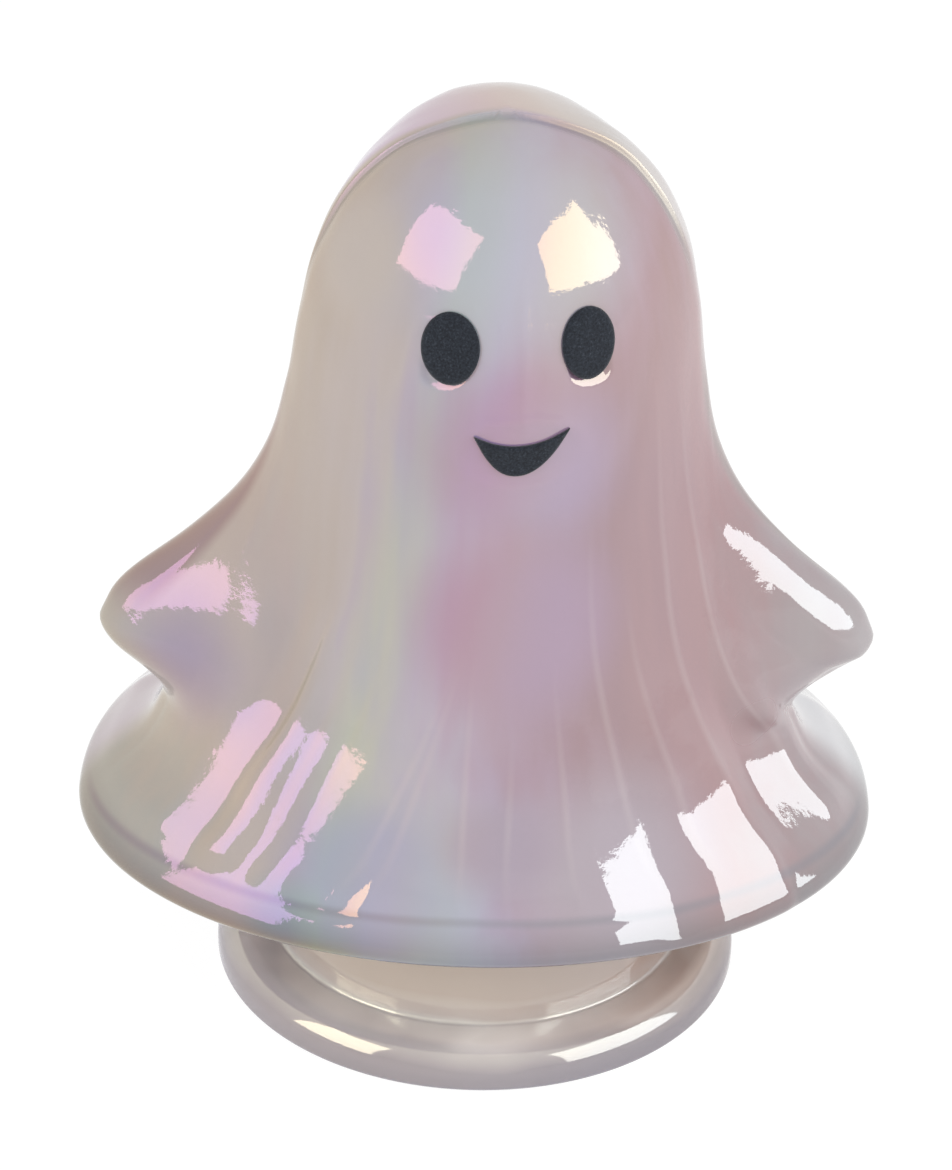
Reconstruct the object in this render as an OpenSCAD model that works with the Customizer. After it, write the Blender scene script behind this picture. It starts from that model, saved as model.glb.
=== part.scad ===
// Lit glass ghost on a round glass pedestal.
// Origin at the centre of the pedestal's underside, +Z up, the face towards -Y.

/* [Ghost] */
// Height of the ghost from its floor to the crown
ghost_h = 166.5; // [155:0.5:175]
// Half width of the head at the jaw
head_half_w = 40; // [36:0.5:43]
// Reach of the head towards the front
head_front = 36; // [33:0.5:39]
// Reach of the head towards the back
head_back = 37; // [34:0.5:40]
// Half width of the hem
hem_half_w = 81; // [74:0.5:86]
// Reach of the hem towards the front
hem_front = 59.5; // [55:0.5:64]
// Reach of the hem towards the back
hem_back = 73; // [67:0.5:78]
// Thickness of the glass
glass_t = 3; // [2:0.1:4]
// Height of the arms' tips above the ghost's floor
arm_level = 50.5; // [46:0.5:56]
// How far the viewer's left arm stands out
arm_reach_left = 21; // [14:0.5:25]
// How far the viewer's right arm stands out
arm_reach_right = 23; // [14:0.5:25]
// Turn of the head about the vertical
head_turn = 8; // [-10:0.5:10]
// How far the crown leans to the viewer's right
lean = 2.6; // [0:0.1:6]
// Depth of the skirt's folds
fold_depth = 1.4; // [0:0.1:2.4]
// How far the viewer's left hip stands out under the arm
hip_out = 2.4; // [0:0.1:3]

/* [Face] */
// Height of the middle of the eyes above the ghost's floor
eye_level = 130.9; // [124:0.2:136]
// Width of an eye
eye_w = 11; // [9:0.2:14]
// Height of an eye
eye_h = 15; // [11:0.2:18]
// Lean of the eyes' tops towards the nose
eye_tilt = 10; // [0:0.5:20]
// Distance from the middle of the face to the middle of an eye
eye_across = 13.2; // [10:0.1:15]
// Height of the mouth's corners above the ghost's floor
mouth_level = 113.6; // [109:0.2:117]
// Width of the mouth
mouth_w = 18.6; // [13:0.2:22]
// Drop of the mouth's lower edge below its corners
mouth_drop = 8.9; // [6:0.1:11]
// Dip of the mouth's upper edge below its corners
mouth_dip = 2.3; // [1:0.1:4]
// Offset of the eyes from the middle of the head
face_off = -0.8; // [-3:0.1:3]
// Depth of the sockets round the eyes
socket_depth = 0.4; // [0:0.1:0.8]
// How far the keel stands out on the forehead
keel_out = 1.4; // [0:0.1:2]
// Thickness of the flocked eyes and mouth
flock_t = 0.7; // [0.4:0.1:1.2]

/* [Pedestal] */
// Radius of the foot flange
foot_r = 53.6; // [51:0.1:58]
// Thickness of the foot flange
foot_t = 9; // [8:0.5:12]
// Rounding of the foot's upper edge
foot_round = 3.5; // [2:0.5:4.5]
// Radius of the drum
drum_r = 42.3; // [41.5:0.1:44]
// Thickness of the drum's wall
drum_wall = 3; // [2.4:0.1:3.4]
// Height of the drum's deck above the table
deck_z = 31.7; // [30:0.1:34]
// Thickness of the deck
deck_t = 2.6; // [2:0.1:3]
// Outer radius of the collar that locates the ghost
collar_r = 29; // [27.5:0.5:31]
// Thickness of the collar's wall
collar_t = 2.4; // [1.8:0.1:2.8]
// Thickness of the seal between pedestal and ghost
seal_t = 0.8; // [0.5:0.1:1.5]

/* [Light unit] */
// Recess of the base plate above the table
plate_z = 2; // [1.6:0.1:2.6]
// Thickness of the base plate
plate_t = 3; // [2.8:0.1:3.4]
// Width of the ledge in the pedestal that the plate seats on
ledge_w = 4.7; // [4:0.1:5.2]
// Diameter of a cell
cell_d = 10.5; // [10:0.1:10.8]
// Length of a cell over its contact nub
cell_l = 44.5; // [43:0.1:46]
// Thickness of the battery bay's walls
bay_wall = 1.6; // [1.2:0.1:2]
// Length of a contact spring as fitted
spring_l = 4.7; // [4.2:0.1:6]
// Thickness of the contact plates
contact_t = 0.4; // [0.3:0.05:0.5]
// Length of the circuit board
board_l = 40; // [38:0.5:42]
// Width of the circuit board
board_w = 30; // [28:0.5:32]
// Thickness of the circuit board
board_t = 1.2; // [1:0.1:1.6]
// Diameter of the lamp's lens
lamp_d = 5; // [4:0.1:6]
// Radius of the frosted diffuser
diffuser_r = 9.5; // [8:0.5:10.5]
// Height of the frosted diffuser
diffuser_h = 24; // [18:0.5:30]

/* [Battery door] */
// Thickness of the door
door_t = 1.8; // [1.6:0.1:2]
// Radius of the hinge barrel
hinge_r = 1.4; // [1.3:0.05:1.5]
// Radius of the hinge pins
hinge_pin_r = 0.8; // [0.7:0.05:0.9]
// Width of the spring tongue
tongue_w = 10; // [8:0.5:14]
// Length of the spring tongue
tongue_l = 8; // [6:0.5:10]

/* [Switch] */
// Travel of the slider each way from its middle place
switch_travel = 2; // [1.5:0.1:2.5]
// Distance of the switch behind the pedestal's middle
switch_y = 24.5; // [24:0.1:26]
// Width of the slider's knob
knob_w = 3.6; // [3:0.1:4]

/* [Hidden] */
$fn = 64;
// Overlap of a cutting tool past the face that it cuts
cut = 0.05;

// Clearances
seat_gap = 0.3;
door_gap = 0.4;
pin_gap = 0.08;
flock_gap = 0.22;
solder_gap = 0.05;

// Heights
floor_z = deck_z + seal_t;
plate_top = plate_z + plate_t;
door_recess = 0.2;
door_z = plate_z + door_recess;
door_top = door_z + door_t;
cell_z = door_top + seat_gap + cell_d / 2;
bay_roof = cell_z + cell_d / 2 + seat_gap;
bay_top = bay_roof + bay_wall;
boss_h = 3;
board_z = bay_top + boss_h;
board_top = board_z + board_t;

// Pedestal
bore_r = drum_r - drum_wall;
socket_r = bore_r + ledge_w;
foot_chamfer_r = 1.5;
collar_lip = 0.5;
opening_gap = 1;

// Battery bay
cell_gap = 0.4;
cell_pitch = cell_d + cell_gap;
bay_half_l = (cell_l + spring_l + 2 * contact_t) / 2;
bay_half_w = cell_pitch + cell_d / 2 + cell_gap;
nub_l = 1;
nub_r = 1.9;

// Door and hinge
door_lap = 1;
hinge_x = -bay_half_l - bay_wall - hinge_r - door_gap;
hinge_z = door_z + hinge_r;
hinge_cover = 1.6;
door_end = bay_half_l + bay_wall + door_lap;
door_half_w = bay_half_w + door_lap;
pin_l = 1.4;
tongue_slit = 0.8;
finger_notch = 5;

// Light unit fastening
gasket_w = 1.6;
gasket_gap = 0.15;
rim_t = 1;

// Board fittings
boss_r = 2.4;
boss_inset = 3.5;
boss_x = board_l / 2 - boss_inset;
boss_y = board_w / 2 - boss_inset;
screw_r = 0.9;
screw_l = 3.6;
screw_head_r = 1.8;
screw_head_h = 1.3;
lamp_flange = 0.45;
lamp_flange_h = 1;
lamp_h = 8.6;
diffuser_wall = 1.2;
pad_inset = 2.5;

// Contacts and leads
tab_w = 3;
tab_rise = 1.6;
contact_half_w = 4;
spring_wire_r = 0.35;
spring_r_plate = 3.3;
spring_r_cell = 2.2;
spring_turns = 3.5;
spring_dead_share = 0.12;
spring_steps = 14;
spring_wire_sides = 6;
lead_r = 0.6;
lead_x = bay_half_l - contact_t / 2;

// Switch
case_l = 13;
case_w = 6.6;
case_h = 5.6;
case_wall = 1;
carriage_l = case_l - 2 * case_wall - 2 * switch_travel - 2 * seat_gap;
carriage_w = case_w - 2 * case_wall - 2 * seat_gap;
carriage_h = 2.4;
knob_d = 2.6;
knob_recess = 1.4;
pin_r = 0.4;
pin_rise = 1.2;
pin_x = 2.5;

// Ghost, outer skin
// Rows of the dome from the crown to the jaw: share of the height, then of the head's width, front and back
dome = [
    [1, 0, 0, 0],
    [0.988, 0.24, 0.25, 0.31],
    [0.955, 0.54, 0.52, 0.62],
    [0.9, 0.77, 0.76, 0.84],
    [0.825, 0.92, 0.917, 0.95],
    [0.735, 1, 1, 1]
];
// Rows of the flare from the jaw to the hem: share of the height, then of the way to the hem's reach
flare = [
    [0.635, 0.05, 0.065, 0.04],
    [0.525, 0.11, 0.13, 0.1],
    [0.417, 0.22, 0.21, 0.18],
    [0.31, 0.365, 0.34, 0.305],
    [0.213, 0.535, 0.51, 0.47],
    [0.13, 0.67, 0.68, 0.665]
];
// Rows of the rolled hem: height above the floor and draw-in from the hem's reach
hem_roll = [[12.5, 5], [6.5, 0], [2.5, 0.2], [0, 5]];
// Columns of the skin on the back and on the front half
back_sides = 30;
front_sides = 46;
row_steps = 3;
inner_rings = 15;
back_fullness = 0.08;
arm_point = 6;
side_pinch = 0.45;
pinch_point = 4;
arm_spread = 17;
arm_fall = 2.2;
arm_under = 22;
arm_tip = 3;
arm_draw_in = 2;
hem_shift = -1;
// Rise of the front's relief from the side ridges
front_span = [0, 0.2];
// Heights between which the side ridge, the turn, the lean, the arms and the full back come and go
ridge_span = [0.033, 0.165] * ghost_h;
turn_span = [0.345, 0.705] * ghost_h;
lean_span = [0.015, 0.855] * ghost_h;
arm_span = [0.675, 0.405] * ghost_h;
full_span = [0.255, 0.045] * ghost_h;
// Pleats low on the front: angle at the hem from the middle of the front, then share of the folds' depth
front_pleats = [
    [-82, 0], [-56, 1.2], [-48.5, -0.43], [-43, 0.35], [-31, 0.2], [-20, -0.65], [-5, 0], [8, 0], [23, 0.3],
    [33, -0.9], [40.5, 0.3], [52, 0.65], [59, -1.15], [76, 1.15], [86, 0]
];
pleat_fan = 0.06;
pleat_span = [0.45, 0.25] * ghost_h;
pleat_foot = [0.035, 0.085] * ghost_h;
// Folds of the back: angles at the hem from the middle of the back
back_folds = [-70, -46, -23, 1, 26, 49, 71];
fold_half_w = 6.5;
fold_sink = 0.4;
fold_fan = 0.25;
fold_span = [0.6, 0.15] * ghost_h;
fold_foot = [0.02, 0.12] * ghost_h;
fold_side = [90, 78];
fan_span = [0.04, 0.26] * ghost_h;
// Hips of the front: angle, half width, share of the left hip's reach, then the shares of the height
// between which they turn hollow and the hollow ends
hips = [
    [-45, 22, 1, [0.132, 0.3], [0.57, 0.42]],
    [27, 8, 0.21, [0.072, 0.204], [0.42, 0.288]],
    [50, 14, 0.54, [0.084, 0.252], [0.48, 0.33]]
];
hip_foot = [0.03, 0.096] * ghost_h;
// Hollow under the viewer's left arm: angle, half width and share of the hip's reach
armpit = [-51, 8, 0.83];
armpit_foot = [0.168, 0.276] * ghost_h;
armpit_top = [0.468, 0.348] * ghost_h;
// Hollow under the viewer's right sleeve: its slanting edge, steepness and reach, and where it comes and goes
sleeve_edge = 0.701 * ghost_h;
sleeve_slope = 0.92;
sleeve_steep = 0.42;
sleeve_drop = 8;
sleeve_side = [36, 52];
sleeve_foot = [0.156, 0.324] * ghost_h;
sleeve_top = [0.48, 0.42] * ghost_h;
// Rounded ends of the sleeves
cuff_out = 1.15;
cuff_inset = 5;
cuff_drop = 4;
cuff_size = [7, 6];

// Face
// Swell of the face: its reach, then the middle, the size and the soft edge of its oval
face_out = 0.8;
face_middle = [1, 0.745 * ghost_h];
face_size = [48, 0.35 * ghost_h];
face_edge = [1.15, 0.8];
keel_x = -1;
keel_half_w = 11;
keel_foot = [0.625, 0.71] * ghost_h;
keel_top = [0.99, 0.937] * ghost_h;
brow_out = 0.7;
brow_foot = [0.817, 0.883] * ghost_h;
brow_top = [0.997, 0.913] * ghost_h;
brow_side = [30, 20];
socket_spread = [2, 1.73];
mouth_off = 0.9;
mouth_fullness = 2.7;
flock_sides = 36;
// Steps in row and in angle over which a direction on the skin is taken
probe_row = 0.05;
probe_angle = 1;

// Smooth rise from 0 at a to 1 at b
function rise(a, b, x) = let (t = max(0, min(1, (x - a) / (b - a)))) t * t * (3 - 2 * t);
// Power that keeps the sign
function signed_pow(x, k) = sign(x) * pow(abs(x), k);

// Profile rows from the crown to the floor: height, half width, front reach and back reach
function profile(inset) = concat(
    [for (d = dome) [d[0] * (ghost_h - inset), d[1] * (head_half_w - inset), d[2] * (head_front - inset),
        d[3] * (head_back - inset)]],
    [for (k = flare) [k[0] * (ghost_h - inset), head_half_w - inset + k[1] * (hem_half_w - head_half_w),
        head_front - inset + k[2] * (hem_front - head_front),
        head_back - inset + k[3] * (hem_back - head_back)]],
    [for (k = hem_roll) [k[0], hem_half_w - inset - k[1], hem_front - inset - k[1], hem_back - inset - k[1]]]
);
outer_rows = profile(0);
inner_rows = profile(glass_t);
last_row = len(outer_rows) - 1;

// Smooth curve through the rows, s counting rows from the crown
function along(rows, s) = let (
        i = min(floor(s), len(rows) - 2),
        t = s - i,
        a = rows[max(i - 1, 0)],
        b = rows[i],
        c = rows[i + 1],
        d = rows[min(i + 2, len(rows) - 1)]
    ) 0.5 * (2 * b + (c - a) * t + (2 * a - 5 * b + 4 * c - d) * t * t + (3 * b - a - 3 * c + d) * t * t * t);

// Row at a height, found by halving
function row_at(rows, h, low = 0, high = last_row, tries = 24) = let (mid = (low + high) / 2)
    tries == 0 ? mid
    : along(rows, mid)[0] > h ? row_at(rows, h, mid, high, tries - 1)
    : row_at(rows, h, low, mid, tries - 1);

// Half width of the skirt at the arms' tips
arm_base = along(outer_rows, row_at(outer_rows, arm_level))[1];

// How far an arm stands out at a height
function arm_out(h, reach) = h > arm_level
    ? reach * over(arm_span, h) / (1 + pow((h - arm_level) / arm_spread, arm_fall))
    : reach * rise(arm_level - arm_under, arm_level - arm_tip, h);

// Bell that is 1 at the middle
function bell(x, half_w) = exp(-pow(x / half_w, 2));
// Rise over a span given as a pair
function over(span, x) = rise(span[0], span[1], x);

// Height of the back's ridges, fanning out from the shoulders and fading into the smooth hem
function back_relief(angle, h) = let (
        fan = 1 - fold_fan * over(fan_span, h),
        ridge = max([for (f = back_folds) bell(angle - 90 - f * fan, fold_half_w)])
    ) fold_depth * (ridge - fold_sink) * over(fold_span, h) * over(fold_foot, h)
        * over(fold_side, abs(angle - 90));

// Height of one hip, which hollows out upwards
function hip_relief(k, off, h) = hip_out * k[2] * bell(off - k[0], k[1]) * over(hip_foot, h)
    * (1 - 2 * over(k[3] * ghost_h, h)) * over(k[4] * ghost_h, h);

// Height of the skirt's relief on the front: pleats, hips and the armpit
function skirt_relief(off, h) = let (fan = 1 - pleat_fan * over(fan_span, h))
    fold_depth * lookup(off / fan, front_pleats) * over(pleat_span, h) * over(pleat_foot, h)
    + hip_relief(hips[0], off, h) + hip_relief(hips[1], off, h) + hip_relief(hips[2], off, h)
    - hip_out * armpit[2] * bell(off - armpit[0], armpit[1]) * over(armpit_foot, h) * over(armpit_top, h);

// Height of the sleeves' relief: the hollow under the right one and the rounded ends
function sleeve_relief(x, h) = let (
        under = max(0, min(sleeve_drop, (sleeve_edge - x - sleeve_slope * h) / norm([1, sleeve_slope]))),
        tip = arm_base + (x > 0 ? arm_reach_right : arm_reach_left)
    ) cuff_out * bell(abs(x) - tip + cuff_inset, cuff_size[0]) * bell(h - arm_level + cuff_drop, cuff_size[1])
        - sleeve_steep * under * over(sleeve_side, x) * over(sleeve_foot, h) * over(sleeve_top, h);

// Distance from an oval's middle, in units of its half axes
function in_oval(x, h, middle, size) = 2 * norm([(x - middle[0]) / size[0], (h - middle[1]) / size[1]]);

// Height of the face's relief: its swell, the keel, the brow and the eye sockets
function face_relief(x, h) = let (
        socket = [for (side = [-1, 1])
            bell(in_oval(x, h, [face_off + side * eye_across, eye_level],
                [socket_spread[0] * eye_w, socket_spread[1] * eye_h]), 1)] * [1, 1]
    ) face_out * over(face_edge, in_oval(x, h, face_middle, face_size))
        + keel_out * bell(x - keel_x, keel_half_w) * over(keel_foot, h) * over(keel_top, h)
        + brow_out * over(brow_foot, h) * over(brow_top, h) * over(brow_side, abs(x))
        - socket_depth * socket;

// Point of the glass at an angle about the vertical and a row
function skin(angle, s, rows, inset = 0) = let (
        row = along(rows, s),
        h = row[0],
        c = cos(angle),
        q = sin(angle),
        soft = 1 - (q > 0 ? back_fullness * over(full_span, h) : 0),
        reach = (c > 0 ? arm_reach_right : arm_reach_left) - arm_draw_in * inset,
        x = signed_pow(c, soft) * row[1] + c * pow(abs(c), arm_point) * arm_out(h, reach),
        y = signed_pow(q, soft) * (q < 0 ? row[2] : row[3])
            * (1 - side_pinch * pow(c, pinch_point) * over(ridge_span, h)),
        front = skirt_relief(angle - 270, h) + sleeve_relief(x, h) + face_relief(x, h),
        relief = front * over(front_span, -q) + back_relief(angle, h),
        swell = 1 + relief / max(norm([x, y]), 1),
        turn = head_turn * over(turn_span, h),
        shift = hem_shift + lean * over(lean_span, h)
    ) [swell * (x * cos(turn) - y * sin(turn)) + shift,
        swell * (x * sin(turn) + y * cos(turn)),
        floor_z + h];

// Columns of the skin, from the viewer's right round the back and then along the front
columns = concat([for (j = [0 : back_sides - 1]) 180 * j / back_sides],
    [for (j = [0 : front_sides - 1]) 180 + 180 * j / front_sides]);
function skin_ring(s, rows, inset = 0) = [for (angle = columns) skin(angle, s, rows, inset)];
function flat_ring(r, z) = [for (angle = columns) [r * cos(angle), r * sin(angle), z]];

// Point raised off the face, from a distance across the head and a height above the floor
function on_face(across, up, raise) = let (
        s = row_at(outer_rows, up),
        angle = 270 + asin(across / along(outer_rows, s)[1]),
        down = skin(angle, s + probe_row, outer_rows) - skin(angle, s - probe_row, outer_rows),
        round = skin(angle + probe_angle, s, outer_rows) - skin(angle - probe_angle, s, outer_rows),
        out = cross(down, round)
    ) skin(angle, s, outer_rows) + raise * out / norm(out);

// Closed solid through rings of points, with a point at each end
module ring_solid(first, rings, last) {
    n = len(rings[0]);
    m = len(rings);
    points = concat([first], [for (ring = rings, p = ring) p], [last]);
    faces = concat(
        [for (j = [0 : n - 1]) [0, 1 + (j + 1) % n, 1 + j]],
        [for (i = [0 : m - 2], j = [0 : n - 1], half = [0, 1]) let (
                a = 1 + i * n + j,
                b = 1 + i * n + (j + 1) % n
            ) half == 0 ? [a, b, b + n] : [a, b + n, a + n]],
        [for (j = [0 : n - 1]) [1 + (m - 1) * n + j, 1 + (m - 1) * n + (j + 1) % n, 1 + m * n]]
    );
    polyhedron(points, faces);
}

// Flat ring with true round walls
module washer(r_in, r_out, z_low, z_high) {
    translate([0, 0, z_low]) linear_extrude(z_high - z_low) difference() {
        circle(r_out);
        circle(r_in);
    }
}

// Box given by its two corners
module block(low, high) {
    translate(low) cube(high - low);
}

// Lead that rises from start and arches over to the point end at the height arch_z
module arched_lead(start, end, arch_z) {
    across = [start.x, start.y] - end;
    middle = ([start.x, start.y] + end) / 2;
    translate(start) cylinder(h = arch_z - start.z, r = lead_r);
    translate([middle.x, middle.y, arch_z]) rotate([90, 0, atan2(across.y, across.x)])
        rotate_extrude(angle = 180) translate([norm(across) / 2, 0]) circle(lead_r);
}

// Hollow blown ghost with pointed arms, skirt folds and a turned-in floor round the collar
module ghost_shell() {
    inner_floor = row_at(inner_rows, glass_t);
    opening_r = collar_r + opening_gap;
    rings = concat(
        [for (i = [1 : last_row * row_steps]) skin_ring(i / row_steps, outer_rows)],
        [flat_ring(opening_r, floor_z), flat_ring(opening_r, floor_z + glass_t)],
        [for (i = [0 : inner_rings]) let (share = 1 - i / (inner_rings + 1))
            skin_ring(inner_floor * share, inner_rows, glass_t)]
    );
    color("thistle", 0.7) ring_solid(skin(0, 0, outer_rows), rings, skin(0, 0, inner_rows, glass_t));
}

// Place on an eye at a share r of its size: an oval whose top leans to the nose, on the side -1 or 1
function eye_spot(side, r, turn) = let (
        u = r * cos(turn) * eye_w / 2,
        v = r * sin(turn) * eye_h / 2,
        tilt = -side * eye_tilt
    ) [face_off + side * eye_across + u * cos(tilt) + v * sin(tilt),
        eye_level - u * sin(tilt) + v * cos(tilt)];

// Place on the mouth at a share r of its size: a strip between two curves that meet in sharp corners
function mouth_spot(r, turn) = let (
        u = abs(cos(turn)),
        edge = turn > 0 && turn < 180 ? -mouth_dip * (1 - u * u) : -mouth_drop * (1 - pow(u, mouth_fullness)),
        middle = -(mouth_dip + mouth_drop) / 2
    ) [face_off + mouth_off + r * cos(turn) * mouth_w / 2, mouth_level + middle + r * (edge - middle)];

// Thin flocked pad on the face: an eye for the side -1 or 1, the mouth for 0
module flock_pad(side) {
    top = flock_gap + flock_t;
    edge = flock_gap + flock_t / 2;
    function spot(r, turn, raise) = let (p = side == 0 ? mouth_spot(r, turn) : eye_spot(side, r, turn))
        on_face(p[0], p[1], raise);
    function spot_ring(r, raise) = [for (j = [0 : flock_sides - 1]) spot(r, 360 * j / flock_sides, raise)];
    color("black") ring_solid(spot(0, 0, top),
        [spot_ring(0.5, top), spot_ring(0.85, top), spot_ring(1, edge), spot_ring(0.97, flock_gap),
            spot_ring(0.5, flock_gap)],
        spot(0, 0, flock_gap));
}

module eye_left() {
    flock_pad(-1);
}

module eye_right() {
    flock_pad(1);
}

module mouth() {
    flock_pad(0);
}

// Clear ring that beds the ghost's floor on the deck
module seat_seal() {
    color("white", 0.5) washer(collar_r + opening_gap, bore_r, deck_z, floor_z);
}

// Glass drum on a round foot, with a deck and a collar above and a socket below
module pedestal() {
    shoulder_r = foot_r - foot_round;
    color("linen", 0.8) rotate_extrude() difference() {
        union() {
            square([shoulder_r, foot_t]);
            translate([0, foot_chamfer_r]) square([foot_r, foot_t - foot_round - foot_chamfer_r]);
            translate([shoulder_r, foot_t - foot_round]) circle(foot_round);
            translate([foot_r - foot_chamfer_r, foot_chamfer_r]) circle(foot_chamfer_r);
            square([foot_r - foot_chamfer_r, foot_chamfer_r]);
            square([drum_r, deck_z]);
            square([collar_r, floor_z + glass_t + collar_lip]);
        }
        translate([0, -cut]) square([socket_r, plate_top + cut]);
        square([bore_r, deck_z - deck_t]);
        square([collar_r - collar_t, 2 * floor_z]);
        translate([-foot_r, -foot_r]) square([foot_r, 3 * foot_r]);
    }
}

// Moulded base plate with the battery bay, hinge cover, board bosses and switch slot
module light_housing() {
    bay_outer = [bay_half_l + bay_wall, bay_half_w + bay_wall];
    cover_x = hinge_x - hinge_r - door_gap - bay_wall;
    cover_half_w = door_half_w + pin_l + bay_wall;
    color("white") difference() {
        union() {
            washer(0, socket_r - seat_gap, plate_z, plate_z + rim_t);
            washer(0, socket_r - gasket_w, plate_z, plate_top);
            block([-bay_outer.x, -bay_outer.y, plate_z], [bay_outer.x, bay_outer.y, bay_top]);
            block([cover_x, -cover_half_w, plate_z], [-bay_half_l, cover_half_w, plate_top + hinge_cover]);
            for (side_x = [-1, 1], side_y = [-1, 1])
                translate([side_x * boss_x, side_y * boss_y, bay_top]) cylinder(h = boss_h, r = boss_r);
        }
        block([-bay_half_l, -bay_half_w, plate_z - cut], [bay_half_l, bay_half_w, bay_roof]);
        block([hinge_x, -door_half_w - door_gap, plate_z - cut],
            [door_end + door_gap, door_half_w + door_gap, door_top + seat_gap]);
        block([door_end, -tongue_w / 2, plate_z - cut], [door_end + finger_notch, tongue_w / 2, door_top]);
        translate([hinge_x, 0, hinge_z]) rotate([90, 0, 0])
            cylinder(h = 2 * (door_half_w + door_gap), r = hinge_r + door_gap, center = true);
        block([hinge_x - hinge_r - door_gap, -door_half_w - door_gap, plate_z - cut],
            [hinge_x + cut, door_half_w + door_gap, hinge_z]);
        translate([hinge_x, 0, hinge_z]) rotate([90, 0, 0])
            cylinder(h = 2 * (door_half_w + pin_l + seat_gap), r = hinge_pin_r + pin_gap, center = true);
        for (side = [-1, 1]) {
            translate([side * lead_x, -side * cell_pitch, 0])
                block([-contact_t / 2 - seat_gap, -tab_w / 2 - seat_gap, bay_roof - cut],
                    [contact_t / 2 + seat_gap, tab_w / 2 + seat_gap, bay_top + cut]);
            translate([side * boss_x, side * boss_y, board_z - screw_l + board_t - seat_gap])
                cylinder(h = screw_l, r = screw_r + pin_gap);
        }
        translate([0, switch_y, 0]) {
            block([-knob_w / 2 - switch_travel - seat_gap, -knob_d / 2 - seat_gap, plate_z - cut],
                [knob_w / 2 + switch_travel + seat_gap, knob_d / 2 + seat_gap, plate_top + cut]);
            block([-case_l / 2, -case_w / 2, plate_z - cut], [case_l / 2, case_w / 2, plate_z + knob_recess]);
        }
    }
}

// Soft ring on the plate's rim that grips the pedestal's socket
module base_gasket() {
    color("gainsboro")
        washer(socket_r - gasket_w + gasket_gap, socket_r - gasket_gap, plate_z + rim_t, plate_top);
}

// Door under the cells, with hinge barrel, pins and a spring tongue at its free end
module battery_door() {
    color("whitesmoke") difference() {
        union() {
            block([hinge_x, -door_half_w, door_z], [door_end, door_half_w, door_top]);
            block([door_end, -tongue_w / 2 + tongue_slit, door_z],
                [door_end + door_lap, tongue_w / 2 - tongue_slit, door_top - door_gap]);
            translate([hinge_x, 0, hinge_z]) rotate([90, 0, 0])
                cylinder(h = 2 * door_half_w, r = hinge_r, center = true);
            translate([hinge_x, 0, hinge_z]) rotate([90, 0, 0])
                cylinder(h = 2 * (door_half_w + pin_l), r = hinge_pin_r, center = true);
        }
        for (side = [-1, 1])
            translate([door_end - tongue_l, side * tongue_w / 2, door_z - cut])
                block([0, -tongue_slit / 2, 0], [tongue_l + cut, tongue_slit / 2, door_t + 2 * cut]);
    }
}

// Cell in place along X, number 0 to 2 across the bay; every second one is turned round
module cell(number) {
    way = number % 2 == 0 ? 1 : -1;
    body_l = cell_l - nub_l;
    translate([way * (bay_half_l - contact_t), (number - 1) * cell_pitch, cell_z]) rotate([0, -90 * way, 0]) {
        color("goldenrod") cylinder(h = cell_l, r = nub_r);
        color("dimgray") translate([0, 0, nub_l]) cylinder(h = body_l, r = cell_d / 2);
    }
}

module battery_1() {
    cell(0);
}

module battery_2() {
    cell(1);
}

module battery_3() {
    cell(2);
}

// One conical contact spring along +X, its wide end at the origin
module cone_spring() {
    turns_deg = 360 * spring_turns;
    steps = spring_steps * spring_turns;
    probe = 0.1 / steps;
    near = spring_wire_r + solder_gap;
    far = spring_l - spring_wire_r - solder_gap;
    function radial(t) = [0, cos(turns_deg * t), sin(turns_deg * t)];
    function middle(t) = [near + (far - near) * rise(spring_dead_share, 1 - spring_dead_share, t), 0, 0]
        + (spring_r_plate + (spring_r_cell - spring_r_plate) * t) * radial(t);
    function heading(t) = let (d = middle(t + probe) - middle(t - probe)) d / norm(d);
    function wire_ring(t) = let (e1 = radial(t), e2 = cross(e1, heading(t)))
        [for (j = [0 : spring_wire_sides - 1]) let (turn = 360 * j / spring_wire_sides)
            middle(t) + spring_wire_r * (cos(turn) * e1 + sin(turn) * e2)];
    ring_solid(middle(0), [for (i = [0 : steps]) wire_ring(i / steps)], middle(1));
}

// Springs under the flat ends of the three cells
module contact_springs() {
    color("silver") for (number = [0 : 2])
        translate([0, (number - 1) * cell_pitch, cell_z]) rotate([0, 0, number % 2 == 0 ? 0 : 180])
            translate([-bay_half_l + contact_t, 0, 0]) cone_spring();
}

// End plates: one link and one terminal with its tab at each end of the bay
module contact_plates() {
    color("silver") for (turn = [0, 180]) rotate([0, 0, turn]) {
        block([bay_half_l - contact_t, -contact_half_w, cell_z - contact_half_w],
            [bay_half_l, cell_pitch + contact_half_w, cell_z + contact_half_w]);
        block([bay_half_l - contact_t, -cell_pitch - contact_half_w, cell_z - contact_half_w],
            [bay_half_l, -cell_pitch + contact_half_w - 2 * cell_gap, cell_z + contact_half_w]);
        block([bay_half_l - contact_t, -cell_pitch - tab_w / 2, cell_z],
            [bay_half_l, -cell_pitch + tab_w / 2, bay_top + tab_rise]);
    }
}

// Board on the bay's bosses, drilled for its screws
module circuit_board() {
    color("seagreen") difference() {
        block([-board_l / 2, -board_w / 2, board_z], [board_l / 2, board_w / 2, board_top]);
        for (side = [-1, 1])
            translate([side * boss_x, side * boss_y, board_z - cut])
                cylinder(h = board_t + 2 * cut, r = screw_r + seat_gap / 2);
    }
}

// Eight-legged timer circuit
module timer_chip() {
    body = [3.9, 4.9, 1.5];
    leg = [6, 0.4, 0.6];
    leg_pitch = 1.27;
    inset = 1.5;
    color("black") translate([-board_l / 2 + leg.x / 2 + inset, 0, board_top]) {
        translate([-body.x / 2, -body.y / 2, leg.z / 3]) cube(body);
        for (row = [-1.5 : 1 : 1.5])
            translate([-leg.x / 2, row * leg_pitch - leg.y / 2, 0]) cube(leg);
    }
}

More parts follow.
